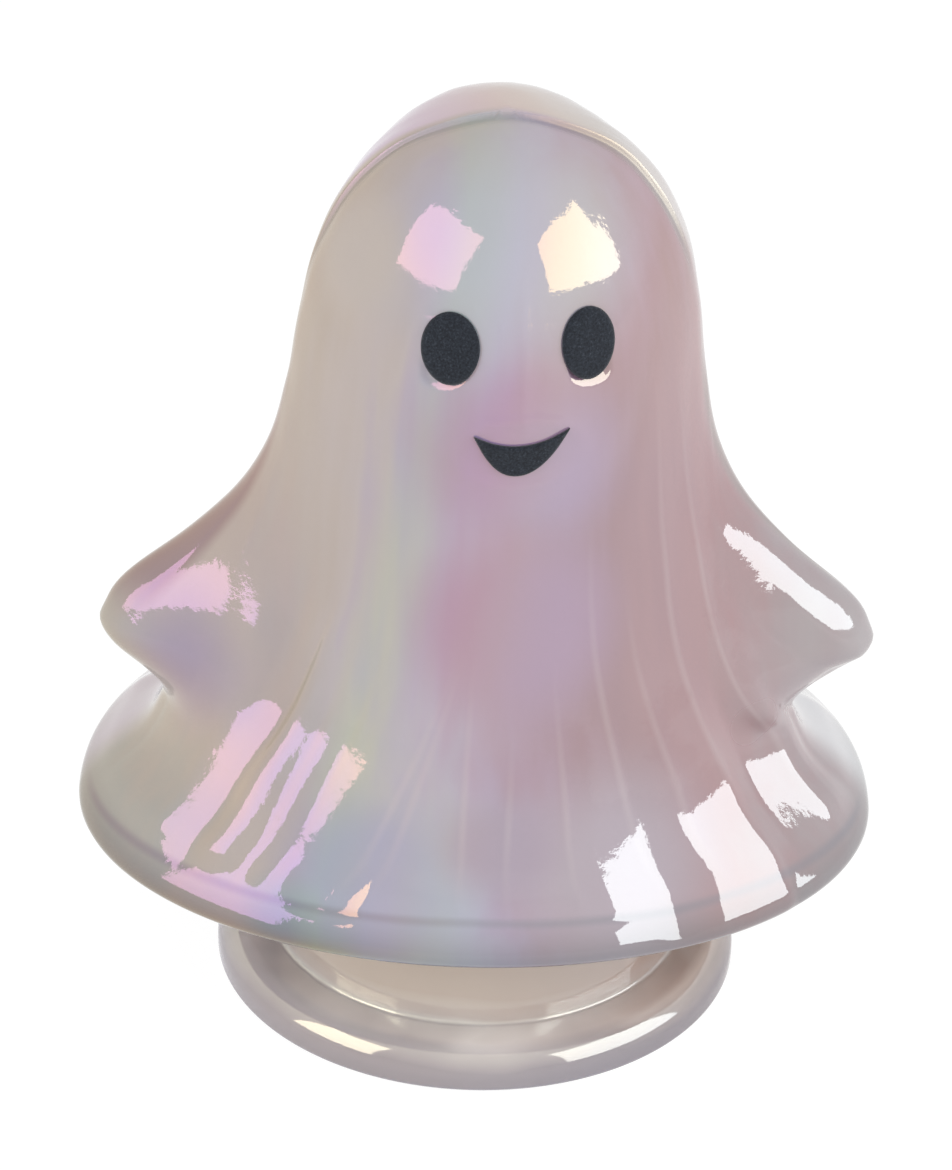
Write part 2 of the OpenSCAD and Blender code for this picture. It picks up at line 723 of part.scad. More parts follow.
// Resistor in series with the lamp
module resistor() {
    body = [2, 3.2, 0.6];
    cap_l = 0.5;
    cap_h = 0.54;
    inset = 2;
    color("dimgray") translate([board_l / 2 - body.x - inset, -body.y / 2, board_top]) {
        translate([0, cap_l, 0]) cube([body.x, body.y - 2 * cap_l, body.z]);
        for (end = [0, body.y - cap_l])
            translate([0, end, 0]) cube([body.x, cap_l, cap_h]);
    }
}

// Domed lamp with its flange
module led_lamp() {
    lens_r = lamp_d / 2;
    color("lightyellow") translate([0, 0, board_top]) rotate_extrude() difference() {
        union() {
            square([lens_r + lamp_flange, lamp_flange_h]);
            square([lens_r, lamp_h - lens_r]);
            translate([0, lamp_h - lens_r]) circle(lens_r);
        }
        translate([-lamp_h, -lamp_h]) square([lamp_h, 3 * lamp_h]);
    }
}

// Frosted dome that stands on the board over the lamp
module light_diffuser() {
    inner_r = diffuser_r - diffuser_wall;
    straight = diffuser_h - diffuser_r;
    color("white", 0.6) translate([0, 0, board_top]) rotate_extrude() difference() {
        union() {
            square([diffuser_r, straight]);
            translate([0, straight]) circle(diffuser_r);
        }
        translate([0, -cut]) square([inner_r, straight + cut]);
        translate([0, straight]) circle(inner_r);
        translate([-diffuser_h, -diffuser_h]) square([diffuser_h, 3 * diffuser_h]);
        translate([0, -diffuser_h]) square([diffuser_h, diffuser_h]);
    }
}

// Two pan-head screws that hold the board on its bosses
module board_screws() {
    color("silver") for (side = [-1, 1]) translate([side * boss_x, side * boss_y, board_top]) {
        cylinder(h = screw_head_h, r = screw_head_r);
        translate([0, 0, -screw_l + seat_gap]) cylinder(h = screw_l, r = screw_r);
    }
}

// Case of the slide switch on the plate, open towards its slot, with two solder pins
module switch_body() {
    color("dimgray") translate([0, switch_y, plate_top]) {
        difference() {
            block([-case_l / 2, -case_w / 2, 0], [case_l / 2, case_w / 2, case_h]);
            block([-case_l / 2 + case_wall, -case_w / 2 + case_wall, -cut],
                [case_l / 2 - case_wall, case_w / 2 - case_wall, case_h - case_wall]);
        }
        for (side = [-1, 1])
            translate([side * pin_x, 0, case_h]) cylinder(h = pin_rise, r = pin_r);
    }
}

// Carriage in the case with the knob that reaches down through the slot
module switch_slider() {
    color("black") translate([0, switch_y, 0]) {
        block([-carriage_l / 2, -carriage_w / 2, plate_top + seat_gap],
            [carriage_l / 2, carriage_w / 2, plate_top + seat_gap + carriage_h]);
        block([-knob_w / 2, -knob_d / 2, plate_z + seat_gap],
            [knob_w / 2, knob_d / 2, plate_top + seat_gap + cut]);
    }
}

// Lead from the terminal at the given end of the bay to the board
module cell_lead(side) {
    arched_lead([side * lead_x, -side * cell_pitch, bay_top + tab_rise + solder_gap],
        [side * (board_l / 2 - pad_inset), -side * cell_pitch], board_top + solder_gap);
}

module wire_red() {
    color("red") cell_lead(1);
}

module wire_black() {
    color("black") cell_lead(-1);
}

// Pair of leads from the switch to the board
module switch_wires() {
    color("yellow") for (side = [-1, 1])
        arched_lead([side * pin_x, switch_y, plate_top + case_h + pin_rise + solder_gap],
            [side * pin_x, board_w / 2 - pad_inset], board_top + solder_gap);
}

ghost_shell();
eye_left();
eye_right();
mouth();
seat_seal();
pedestal();
light_housing();
base_gasket();
battery_door();
battery_1();
battery_2();
battery_3();
contact_springs();
contact_plates();
circuit_board();
timer_chip();
resistor();
led_lamp();
light_diffuser();
board_screws();
switch_body();
switch_slider();
wire_red();
wire_black();
switch_wires();
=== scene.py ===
import math

import bpy
import numpy as np
from mathutils import Matrix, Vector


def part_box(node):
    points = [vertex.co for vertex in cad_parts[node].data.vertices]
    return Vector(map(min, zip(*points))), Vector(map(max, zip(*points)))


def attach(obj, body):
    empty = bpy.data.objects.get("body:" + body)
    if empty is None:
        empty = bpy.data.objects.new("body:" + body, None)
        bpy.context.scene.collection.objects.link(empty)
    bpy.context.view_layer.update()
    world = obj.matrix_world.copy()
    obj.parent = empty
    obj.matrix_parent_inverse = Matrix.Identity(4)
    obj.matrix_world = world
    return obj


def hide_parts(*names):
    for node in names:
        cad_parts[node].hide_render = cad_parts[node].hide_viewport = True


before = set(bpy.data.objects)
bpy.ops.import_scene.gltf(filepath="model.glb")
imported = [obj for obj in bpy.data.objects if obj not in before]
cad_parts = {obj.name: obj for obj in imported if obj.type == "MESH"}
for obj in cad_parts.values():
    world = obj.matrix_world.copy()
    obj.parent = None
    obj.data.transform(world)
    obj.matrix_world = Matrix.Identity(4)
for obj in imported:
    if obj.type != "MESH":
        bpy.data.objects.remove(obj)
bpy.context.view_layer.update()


# Pedestal
# A drum of milky glass on a round foot, pressed in one piece and given the same pearl lustre as the ghost.
# It is turned from one closed outline: foot, drum, deck, collar, bore and the socket for the light unit.
MM = 0.001
FOOT_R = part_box("pedestal")[1].x / MM
COLLAR_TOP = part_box("pedestal")[1].z / MM
DECK_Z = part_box("seat_seal")[0].z / MM
FOOT_TOP = 9.0
FOOT_NOSE_R = 6.0
FOOT_TOE_R = 1.5
DRUM_R = 42.3
DRUM_FILLET_R = 1.0
DECK_EDGE_R = 0.8
DECK_T = 2.6
COLLAR_R = 29.0
COLLAR_T = 2.4
BORE_R = 39.3
SOCKET_R = 44.0
SOCKET_TOP = 5.0
PEDESTAL_SIDES = 256
# Glass: width of its clouds and ripple, share of clouds and of height in its colour, half width of the tint
# and painted shade across it and of the film, and the film's thickness in nanometres on the left and on the
# right
PRESSED_CLOUD_W, PRESSED_RIPPLE_W = 30.0, 5.0
PRESSED_CLOUD_SHARE, PRESSED_HEIGHT_SHARE = 0.12, 0.9
PRESSED_HALF = 50.0
PRESSED_FILM = (96.0, 66.0)


def linear(code):
    """Linear red, green, blue and alpha of an sRGB hex colour."""
    channels = [int(code[i:i + 2], 16) / 255 for i in (1, 3, 5)]
    return tuple(c / 12.92 if c <= 0.04045 else ((c + 0.055) / 1.055) ** 2.4 for c in channels) + (1.0,)


def add_node(tree, kind, values=None, links=None, stops=(), **settings):
    """Adds one node to a tree, with its settings, its input values, its links and its colour stops.

    A link comes from a socket, or from a node's first output that is in use.
    """
    node = tree.nodes.new("ShaderNode" + kind)
    for name, value in settings.items():
        setattr(node, name, value)
    for name, value in (values or {}).items():
        node.inputs[name].default_value = value
    for name, source in (links or {}).items():
        outputs = [source] if isinstance(source, bpy.types.NodeSocket) else source.outputs
        tree.links.new(next(socket for socket in outputs if socket.enabled), node.inputs[name])
    for place, (position, code) in enumerate(stops):
        ramp = node.color_ramp.elements
        stop = ramp[place] if place < 2 else ramp.new(position)
        stop.position = position
        stop.color = linear(code)
    return node


def new_material(name):
    """A material with an empty node tree, and that tree."""
    material = bpy.data.materials.new(name)
    material.use_nodes = True
    material.node_tree.nodes.clear()
    return material, material.node_tree


def surfaced(material, shader):
    """The material, with a shader on its surface."""
    add_node(material.node_tree, "OutputMaterial", links={"Surface": shader})
    return material


def arc(r, z, radius, start, stop, count=9):
    """Points of a round stretch of outline about (r, z), from one angle to another in degrees."""
    turn = np.radians(np.linspace(start, stop, count))
    return np.stack([r + radius * np.cos(turn), z + radius * np.sin(turn)], -1)


def turned(outline, sides):
    """Rings of points: each outline point (r, z) is carried round the vertical axis, in millimetres."""
    turn = np.linspace(0, 2 * np.pi, sides, endpoint=False)
    r, z = np.asarray(outline)[:, 0, None], np.asarray(outline)[:, 1, None]
    return np.stack([r * np.cos(turn), r * np.sin(turn), z + 0 * turn], -1)


def ring_piece(name, rings, material, first=None, last=None):
    """A smooth closed mesh through rings of points given in millimetres.

    Neighbouring rings are joined by quads. The two ends are closed by fans to the points first and last,
    or, where there are none, the last ring joins on to the first one.
    """
    count, sides = rings.shape[:2]
    points = rings.reshape(-1, 3)
    here = np.arange(sides)
    after = (here + 1) % sides
    rows = np.arange(count - 1 if first is not None else count)[:, None]
    low, high = rows * sides, (rows + 1) % count * sides
    quads = np.stack([low + here, high + here, high + after, low + after], -1).reshape(-1, 4)
    fans = np.zeros((0, 3), int)
    if first is not None:
        points = np.concatenate([points, [first, last]])
        top, end = np.full(sides, count * sides), (count - 1) * sides
        fans = np.concatenate([np.stack([top, here, after], -1),
                               np.stack([top + 1, end + after, end + here], -1)])
    mesh = bpy.data.meshes.new(name)
    mesh.vertices.add(len(points))
    mesh.vertices.foreach_set("co", (points * MM).astype(np.float32).ravel())
    mesh.loops.add(quads.size + fans.size)
    mesh.loops.foreach_set("vertex_index", np.concatenate([quads.ravel(), fans.ravel()]).astype(np.int32))
    starts = np.concatenate([np.arange(len(quads)) * 4, quads.size + np.arange(len(fans)) * 3])
    mesh.polygons.add(len(starts))
    mesh.polygons.foreach_set("loop_start", starts.astype(np.int32))
    mesh.update(calc_edges=True)
    mesh.validate()
    mesh.shade_smooth()
    mesh.materials.append(material)
    piece = bpy.data.objects.new(name, mesh)
    bpy.context.scene.collection.objects.link(piece)
    return piece


def pedestal_glass():
    """Pressed milky glass with a pearl lustre: a warm grey body, ivory on the flats, mauve low on the rim.
    The flats and the drum are painted lighter against the ghost's shadow, and the right side darker with
    painted shade.
    """
    material, tree = new_material("pressed_lustre_glass")
    place = add_node(tree, "TexCoord").outputs["Object"]
    axes = add_node(tree, "SeparateXYZ", links={"Vector": place}).outputs
    cloud = add_node(tree, "TexNoise", {"Scale": 1 / (PRESSED_CLOUD_W * MM), "Detail": 2.0},
                     {"Vector": place})
    height = add_node(tree, "MapRange", {"From Max": DECK_Z * MM, "To Max": PRESSED_HEIGHT_SHARE},
                      {"Value": axes["Z"]})
    level = add_node(tree, "Math", {1: PRESSED_CLOUD_SHARE}, {0: cloud, 2: height},
                     operation="MULTIPLY_ADD")
    # The stops for the flats and the drum are painted lighter, to offset the ghost's shadow over them.
    body = add_node(tree, "ValToRGB", links={"Fac": level},
                    stops=((0.05, "#8a8092"), (0.9, "#c0aaa2"), (0.2, "#98909e"), (0.29, "#c8c2c4"),
                           (0.325, "#f4eeec"), (0.36, "#dccfcc"), (0.5, "#c6b2aa")))
    # Darker and browner to the right: partly a browner tint, partly painted shade against the stronger light
    # from the right.
    across = add_node(tree, "MapRange", {"From Min": -PRESSED_HALF * MM, "From Max": PRESSED_HALF * MM},
                      {"Value": axes["X"]})
    side = add_node(tree, "ValToRGB", links={"Fac": across},
                    stops=((0.0, "#ffffff"), (1.0, "#d6c4b8"), (0.5, "#f8f6f4"), (0.75, "#ece6e2")))
    body = add_node(tree, "Mix", {"Factor": 1.0}, {6: body, 7: side}, data_type="RGBA",
                    blend_type="MULTIPLY")
    film = add_node(tree, "MapRange", {"To Min": PRESSED_FILM[0], "To Max": PRESSED_FILM[1]},
                    {"Value": across})
    ripple = add_node(tree, "TexNoise", {"Scale": 1 / (PRESSED_RIPPLE_W * MM), "Detail": 1.0},
                      {"Vector": place})
    bump = add_node(tree, "Bump", {"Strength": 0.25, "Distance": 0.1 * MM}, {"Height": ripple})
    shader = add_node(tree, "BsdfPrincipled",
                      {"Roughness": 0.06, "IOR": 1.5, "Thin Film IOR": 1.9, "Subsurface Weight": 0.6,
                       "Subsurface Radius": (1.0, 1.0, 1.0), "Subsurface Scale": 14 * MM},
                      {"Base Color": body, "Normal": bump, "Thin Film Thickness": film})
    return surfaced(material, shader)


pedestal_outline = np.concatenate([
    [(SOCKET_R, 0.0)],
    arc(FOOT_R - FOOT_TOE_R, FOOT_TOE_R, FOOT_TOE_R, -90, 0),
    arc(FOOT_R - FOOT_NOSE_R, FOOT_TOP - FOOT_NOSE_R, FOOT_NOSE_R, 0, 88, 17),
    arc(DRUM_R + DRUM_FILLET_R, FOOT_TOP + DRUM_FILLET_R, DRUM_FILLET_R, -90, -180),
    arc(DRUM_R - DECK_EDGE_R, DECK_Z - DECK_EDGE_R, DECK_EDGE_R, 0, 90),
    [(COLLAR_R, DECK_Z)],
    arc(COLLAR_R - COLLAR_T / 2, COLLAR_TOP - COLLAR_T / 2, COLLAR_T / 2, 0, 180, 13),
    [(COLLAR_R - COLLAR_T, DECK_Z - DECK_T), (BORE_R, DECK_Z - DECK_T)],
    [(BORE_R, SOCKET_TOP), (SOCKET_R, SOCKET_TOP)],
])
pedestal = ring_piece("pedestal_glass", turned(pedestal_outline, PEDESTAL_SIDES)[::-1], pedestal_glass())
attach(pedestal, "figure")
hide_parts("pedestal")


# Seat seal and base gasket
# Two clear silicone rings: one beds the ghost on the drum's deck, the other grips the light unit below.
# They are cut from soft sheet, so they are slightly cloudy and have a dull skin.
def moulded(name, pale, dark, roughness, grain_mm, relief_mm, **extra):
    """A moulded finish: two near shades in a fine grain, with the grain's own roughness and relief."""
    material, tree = new_material(name)
    place = add_node(tree, "TexCoord").outputs["Object"]
    grain = add_node(tree, "TexNoise", {"Scale": 1 / (grain_mm * MM), "Detail": 3.0}, {"Vector": place})
    shade = add_node(tree, "ValToRGB", links={"Fac": grain}, stops=((0.3, dark), (0.7, pale)))
    swing = 0.06
    dull = add_node(tree, "MapRange", {"To Min": roughness - swing, "To Max": roughness + swing},
                    {"Value": grain})
    bump = add_node(tree, "Bump", {"Strength": 0.6, "Distance": relief_mm * MM}, {"Height": grain})
    shader = add_node(tree, "BsdfPrincipled", extra,
                      {"Base Color": shade, "Roughness": dull, "Normal": bump})
    return surfaced(material, shader)


def dress(nodes, material):
    """Gives each CAD node in the list the finish in place of its plain one."""
    for name in nodes:
        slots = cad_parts[name].data.materials
        slots.clear()
        slots.append(material)


clear_silicone = moulded(
    "cut_clear_silicone", "#dcdcd8", "#cfd0cd", roughness=0.42, grain_mm=1.2, relief_mm=0.02, IOR=1.41)
dress(["seat_seal", "base_gasket"], clear_silicone)


# Light housing and battery door
# A base plate with the battery bay, and a hinged door under it, both injection moulded in white ABS.
# The mould was spark-eroded, which leaves an even fine grain on the plastic.
white_abs = moulded(
    "moulded_white_abs", "#e6e5e1", "#d9d8d3", roughness=0.48, grain_mm=0.6, relief_mm=0.03, IOR=1.54)
dress(["light_housing", "battery_door"], white_abs)


# Cells
# Three small round cells: a steel can in a printed plastic sleeve with a copper-coloured end.
# They lie side by side in the bay, every second one turned round.
CELL_BAND = 11.0
# Creases of the sleeve: their width, and their share in its shade
SLEEVE_WRAP_W, SLEEVE_WRAP_SHARE = 2.0, 0.05


def cell_sleeve(way):
    """Shrink sleeve over a steel can: dark grey, with a copper band at the end where the nub is."""
    material, tree = new_material("shrink_sleeve_" + ("east" if way > 0 else "west"))
    place = add_node(tree, "TexCoord").outputs["Object"]
    axes = add_node(tree, "SeparateXYZ", links={"Vector": place}).outputs
    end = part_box("battery_1")[1].x
    lengthwise = add_node(tree, "MapRange",
                          {"From Min": way * (end - 2 * CELL_BAND * MM), "From Max": way * end},
                          {"Value": axes["X"]})
    wrap = add_node(tree, "TexNoise", {"Scale": 1 / (SLEEVE_WRAP_W * MM), "Detail": 2.0}, {"Vector": place})
    shade = add_node(tree, "Math", {1: SLEEVE_WRAP_SHARE}, {0: wrap, 2: lengthwise},
                     operation="MULTIPLY_ADD")
    colour = add_node(tree, "ValToRGB", links={"Fac": shade},
                      stops=((0.0, "#34363a"), (0.53, "#3d4045"), (0.56, "#a8683c"), (1.0, "#b8764a")))
    shader = add_node(tree, "BsdfPrincipled", {"Roughness": 0.3, "Coat Weight": 0.4},
                      {"Base Color": colour})
    return surfaced(material, shader)


dress(["battery_1", "battery_3"], cell_sleeve(1))
dress(["battery_2"], cell_sleeve(-1))


# Contacts and screws
# Springs wound from steel wire, stamped contact plates and two pan-head screws, all nickel plated.
# The springs press the cells against the plates, and the screws hold the board on its bosses.
def plated(name, pale, dark, roughness, scratch_mm):
    """Bright plating over steel: fine drawn streaks vary the shade and the roughness."""
    material, tree = new_material(name)
    place = add_node(tree, "TexCoord").outputs["Object"]
    streak = add_node(tree, "TexNoise", {"Scale": 1 / (scratch_mm * MM), "Detail": 4.0}, {"Vector": place})
    shade = add_node(tree, "ValToRGB", links={"Fac": streak}, stops=((0.35, dark), (0.65, pale)))
    swing = 0.08
    dull = add_node(tree, "MapRange", {"To Min": roughness - swing, "To Max": roughness + swing},
                    {"Value": streak})
    shader = add_node(tree, "BsdfPrincipled", {"Metallic": 1.0}, {"Base Color": shade, "Roughness": dull})
    return surfaced(material, shader)


dress(["contact_springs", "contact_plates", "board_screws"],
      plated("bright_nickel_plate", "#d3d0c8", "#b9b6ae", roughness=0.25, scratch_mm=0.8))


# Circuit board
# A single-sided laminate board with a green solder mask over its copper tracks.
# It is screwed to two of the bay's bosses and carries the lamp, the timer and the resistor.
TRACK_PITCH = 2.5
# Length of one wave of the wave texture at scale 1
WAVE_LENGTH = 0.314


def board_laminate():
    """Glass-fibre laminate under green solder mask, with paler lines where the copper tracks run under it."""
    material, tree = new_material("green_masked_laminate")
    place = add_node(tree, "TexCoord").outputs["Object"]
    tracks = add_node(tree, "TexWave", {"Scale": WAVE_LENGTH / (TRACK_PITCH * MM), "Distortion": 1.5},
                      {"Vector": place}, bands_direction="Y")
    shade = add_node(tree, "ValToRGB", links={"Fac": tracks.outputs["Fac"]},
                     stops=((0.6, "#1d5a3a"), (0.72, "#2f7a4f")))
    shader = add_node(tree, "BsdfPrincipled", {"Roughness": 0.3, "Coat Weight": 0.3}, {"Base Color": shade})
    return surfaced(material, shader)


dress(["circuit_board"], board_laminate())


# Timer chip and resistor
# Two small parts soldered on the board, both in black epoxy that was moulded matt.
# The timer has eight legs, and the resistor two end caps.
dress(["timer_chip", "resistor"], moulded(
    "matt_black_epoxy", "#2a2a2c", "#1d1d1f", roughness=0.55, grain_mm=0.3, relief_mm=0.02))


# Lamp and diffuser
# A domed lamp in clear cast epoxy, under a frosted dome that spreads its light.
# The lamp is soldered to the board, and the dome stands on it.
dress(["led_lamp"], moulded(
    "cast_lens_epoxy", "#f0e8c8", "#e6dcb8", roughness=0.12, grain_mm=2.0, relief_mm=0.005, IOR=1.54))
dress(["light_diffuser"], moulded(
    "frosted_polycarbonate", "#eceae6", "#dddbd6", roughness=0.6, grain_mm=0.5, relief_mm=0.03, IOR=1.58))


# Slide switch
# A grey nylon case on the plate, with a black nylon slider whose knob reaches down through the slot.
# Both are injection moulded.
dress(["switch_body"], moulded(
    "moulded_grey_nylon", "#6e7074", "#626468", roughness=0.45, grain_mm=0.5, relief_mm=0.02))
dress(["switch_slider"], moulded(
    "moulded_black_nylon", "#26272a", "#1b1c1f", roughness=0.4, grain_mm=0.4, relief_mm=0.03))


# Leads
# Short solid wires in coloured PVC: red and black from the cells, a yellow pair from the switch.
# Each is soldered at both ends and arches over to the board.
for leads, pale, dark in ((["wire_red"], "#b3261e", "#9c1f19"), (["wire_black"], "#222326", "#18191b"),
                          (["switch_wires"], "#d9b31c", "#c29e12")):
    dress(leads, moulded("extruded_pvc_" + leads[0], pale, dark, roughness=0.4, grain_mm=0.5, relief_mm=0.01))


# Ghost
# A hollow ghost blown into a two-part mould in milky glass, fumed with a thin pearl film while it was hot.
# Its floor is turned in under the hem and beds on the seal round the pedestal's collar.
FLOOR_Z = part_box("ghost_shell")[0].z / MM
GHOST_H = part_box("ghost_shell")[1].z / MM - FLOOR_Z
HEAD_W, HEAD_F, HEAD_B = 40.0, 36.0, 37.0
HEM_W, HEM_F, HEM_B = 81.0, 59.5, 73.0
GLASS_T = 3.0
OPENING_R = 30.0
ARM_LEVEL, ARM_LEFT, ARM_RIGHT = 50.5, 21.0, 23.0
ARM_SPREAD, ARM_POWER, ARM_UNDER, ARM_TIP = 17.0, 2.2, 22.0, 3.0
HEAD_TURN = 8.0
HEM_SHIFT, LEAN = -1.0, 2.6
BACK_FULLNESS, SIDE_PINCH, PINCH_POWER, ARM_POINT = 0.08, 0.45, 4, 6
# Heights over which the back's fullness, the arms, the pinch, the head's turn and the lean come in
FULLNESS_SPAN, ARM_SPAN = (0.255 * GHOST_H, 0.045 * GHOST_H), (0.675 * GHOST_H, 0.405 * GHOST_H)
PINCH_SPAN, TURN_SPAN = (0.033 * GHOST_H, 0.165 * GHOST_H), (0.345 * GHOST_H, 0.705 * GHOST_H)
LEAN_SPAN = (0.015 * GHOST_H, 0.855 * GHOST_H)
# Dome rows from the crown to the jaw: share of the height, then of the head's width, front and back
DOME = np.array([(1, 0, 0, 0), (0.988, 0.24, 0.25, 0.31), (0.955, 0.54, 0.52, 0.62), (0.9, 0.77, 0.76, 0.84),
                 (0.825, 0.92, 0.917, 0.95), (0.735, 1, 1, 1)])
# Flare rows from the jaw to the hem: share of the height, then of the way to the hem's reach
FLARE = np.array([(0.635, 0.05, 0.065, 0.04), (0.525, 0.11, 0.13, 0.1), (0.417, 0.22, 0.21, 0.18),
                  (0.31, 0.365, 0.34, 0.305), (0.213, 0.535, 0.51, 0.47), (0.13, 0.67, 0.68, 0.665)])
# Rolled hem rows: height above the floor, and draw-in from the hem's reach
HEM_ROLL = np.array([(12.5, 5), (6.5, 0), (2.5, 0.2), (0, 5)])
# Pleats low on the front of the skirt: crest and valley lines, each with its bearing at the hem and higher up
# in degrees from the front, and its height
PLEATS = (
    (-82, -80, 0.0), (-56, -54.5, 1.7), (-48.5, -42.8, -0.2), (-44.5, -41.2, 1.25), (-42, -38.5, 1.2),
    (-38.3, -34, -0.2), (-37.2, -31.8, -0.1), (-34, -26.8, -1.1), (-31.4, -25.2, -0.75), (-20, -12, -1.1),
    (-5, -3, 0.0), (8, 8, 0.0), (21.5, 21.5, 0.5), (31.4, 29, -1.4), (39.5, 37, 0.9), (52, 50, 0.9),
    (59, 58, -1.6), (76, 73, 1.6), (86, 85, 0.0),
)
# Share of the way up at which the lines stop leaning, and the shifts in degrees that round the pleats
PLEAT_LAST, PLEAT_ROUNDING = 1.5, (-0.5, 0.0, 0.5)
PLEAT_FOOT_SIDES, PLEAT_FOOT_RIGHT, PLEAT_FOOT_SPAN = (8.0, 15.0), (1.5, 6.5), (55.5, 53.5)
PLEAT_MARK, PLEAT_TOP, PLEAT_TOP_RIGHT = (8.0, 45.0), (74.0, 42.0), (56.0, 32.0)
# Finer folds: bearing at the hem and at the top, height of the top, then the ridge's height and half width
FRONT_FOLDS = (
    (-23, -5, 66, 0.3, 1.6), (-17.5, -4, 68, 0.3, 1.6), (-2, -2.2, 68, 0.35, 1.4), (5, 7, 52, 0.35, 1.4),
    (17, 16, 66, 0.4, 1.4), (31.5, 22, 98, 0.3, 1.8), (41.5, 34, 80, 0.4, 1.8), (53, 43, 124, 0.4, 2.2),
    (73, 53, 124, 0.4, 2.4),
)
BACK_FOLDS = (
    (-68, -60, 70, 0.9, 4.0), (-46, -38, 95, 1.1, 4.0), (-23, -17, 80, 0.9, 4.0), (1, 1, 100, 1.0, 4.0),
    (26, 20, 80, 0.9, 4.0), (49, 41, 95, 1.1, 4.0), (70, 61, 70, 0.9, 4.0),
)
# Heights over which folds come in at the foot, and share of a fold's reach from which it fades
FOLD_FOOT, FOLD_FADE = (7.0, 14.0), 0.5
# Crease over the hem: its height in front, its fall towards the sides, its depth, half width and soft ends
HEM_LINE, HEM_LINE_DROP, HEM_LINE_DEPTH, HEM_LINE_HALF, HEM_LINE_SIDE = 10.8, 2.2, 0.45, 0.9, (32, 20)
# Hips of the front: bearing, half width, height, then where they turn hollow and where the hollow ends
HIP_FOOT = (5, 16)
HIPS = ((-45, 22, 2.25, (22, 47), (95, 70)), (27, 8, 0.5, (12, 34), (70, 48)),
        (50, 14, 1.3, (14, 42), (80, 55)))
# Left armpit: bearing, half width, depth. Drop of glass over the hem: bearing, height, half width, reach
ARMPIT, ARMPIT_FOOT, ARMPIT_TOP = (-51, 8, 2.0), (28, 46), (78, 58)
DROP = (-15.5, 11.5, 4.0, 0.8)
# Right sleeve: the line under its lit edge where the glass turns in, then where the hollow comes and goes
SLEEVE_EDGE, SLEEVE_SLOPE, SLEEVE_STEEP, SLEEVE_DROP = 117.4, 0.92, 0.42, 6.5
SLEEVE_CREST, SLEEVE_CREST_OUT, SLEEVE_CREST_HALF, SLEEVE_CREST_SIDE = -1.5, 0.6, 3.0, (40, 50)
SLEEVE_SIDE, SLEEVE_FOOT, SLEEVE_TOP = (38, 60), (20, 56), (80, 70)
# Rounded ends of the sleeves: place across, height and reach, then their half sizes
CUFFS, CUFF_W, CUFF_H = ((-72.0, 46.0, 1.1), (71.0, 47.0, 1.2)), 7.0, 6.0
# Mould's seam: its plane, the step's depth on crown and sleeves, its half width and how far it fades forward
SEAM_Y, SEAM_SLOPE, SEAM_CROWN, SEAM_SLEEVE, SEAM_HALF, SEAM_FADE = -2.0, 0.06, 1.0, 0.12, 0.4, 7.0
SEAM_CROWN_FOOT, SEAM_SLEEVE_FOOT, SEAM_SLEEVE_TOP, SEAM_SIDE = (127, 150), (40, 55), (103, 75), (0.9, 1.15)
# Swell of the face: its oval by middle, size and tilt, its reach and its soft edge
FACE, FACE_OUT, FACE_EDGE = (1.0, 124.0, 48.0, 58.0, 0.0), 0.8, (1.15, 0.8)
KEEL_X, KEEL_HALF, KEEL_OUT, KEEL_FOOT, KEEL_TOP = -1.0, 11.0, 1.4, (104, 118), (165, 156)
BROW_OUT, BROW_FOOT, BROW_TOP, BROW_SIDE = 0.7, (136, 147), (166, 152), (30, 20)
NOSE_X, NOSE_HALF, NOSE_OUT, NOSE_FOOT, NOSE_TOP = -0.3, 1.2, 0.3, (112, 118), (146, 138)
# Eyes: place across, height, tilt, and shift of the lower lip's middle
EYES = ((-13.9, 130.9, 10.0, -2.2), (12.4, 131.2, -10.0, 0.8))
EYE_W, EYE_H = 10.6, 14.5
SOCKET_W, SOCKET_H, SOCKET_DEPTH = 22.0, 26.0, 0.4
LIP_DEPTH, LIP_WIDER, LIP_EDGE, LIP_LEVEL, LIP_SIDE = 0.7, 2.0, (1.22, 1.01), (-2.0, -5.0), (5.0, 3.0)
MOUTH_X, MOUTH_Y, MOUTH_W, MOUTH_SLOPE = -0.2, 114.2, 18.1, 0.06
MOUTH_DIP, MOUTH_DROP, MOUTH_FULLNESS = 2.4, 9.2, 2.2
# Roll of the lips: an oval round the mouth by drop, size, reach and half width
ROLL_DROP, ROLL_W, ROLL_H, ROLL_OUT, ROLL_HALF = 4.5, 24.6, 15.0, 0.25, 0.18
# Share of the way to the front, or to the back, over which the relief fades in from the side ridges
FRONT_SPAN = (0.0, 0.2)
# Slow ripple: its height, its waves per radian round and per millimetre up, and where it comes in
RIPPLE, RIPPLE_ROUND, RIPPLE_UP = 0.06, (17, -5), (0.13, 0.27)
RIPPLE_FOOT, RIPPLE_TOP = (8, 20), (166, 156)
# Steps in which the profile is measured
RUN_STEPS = 4001
# Angle round the axis at which the front lies
FRONT_ANGLE = 1.5 * np.pi


def rise(low, high, x):
    """Smooth step from 0 at low to 1 at high."""
    t = np.clip((x - low) / (high - low), 0, 1)
    return t * t * (3 - 2 * t)


def profile(inset):
    """Rows from the crown to the floor: height, half width, front and back reach, all drawn in by inset."""
    head = np.array([HEAD_W, HEAD_F, HEAD_B]) - inset
    spread = np.array([HEM_W - HEAD_W, HEM_F - HEAD_F, HEM_B - HEAD_B])
    hem = np.array([HEM_W, HEM_F, HEM_B]) - inset
    return np.concatenate([
        DOME * np.concatenate([[GHOST_H - inset], head]),
        np.concatenate([FLARE[:, :1] * (GHOST_H - inset), head + FLARE[:, 1:] * spread], 1),
        np.concatenate([HEM_ROLL[:, :1], hem - HEM_ROLL[:, 1:]], 1),
    ])


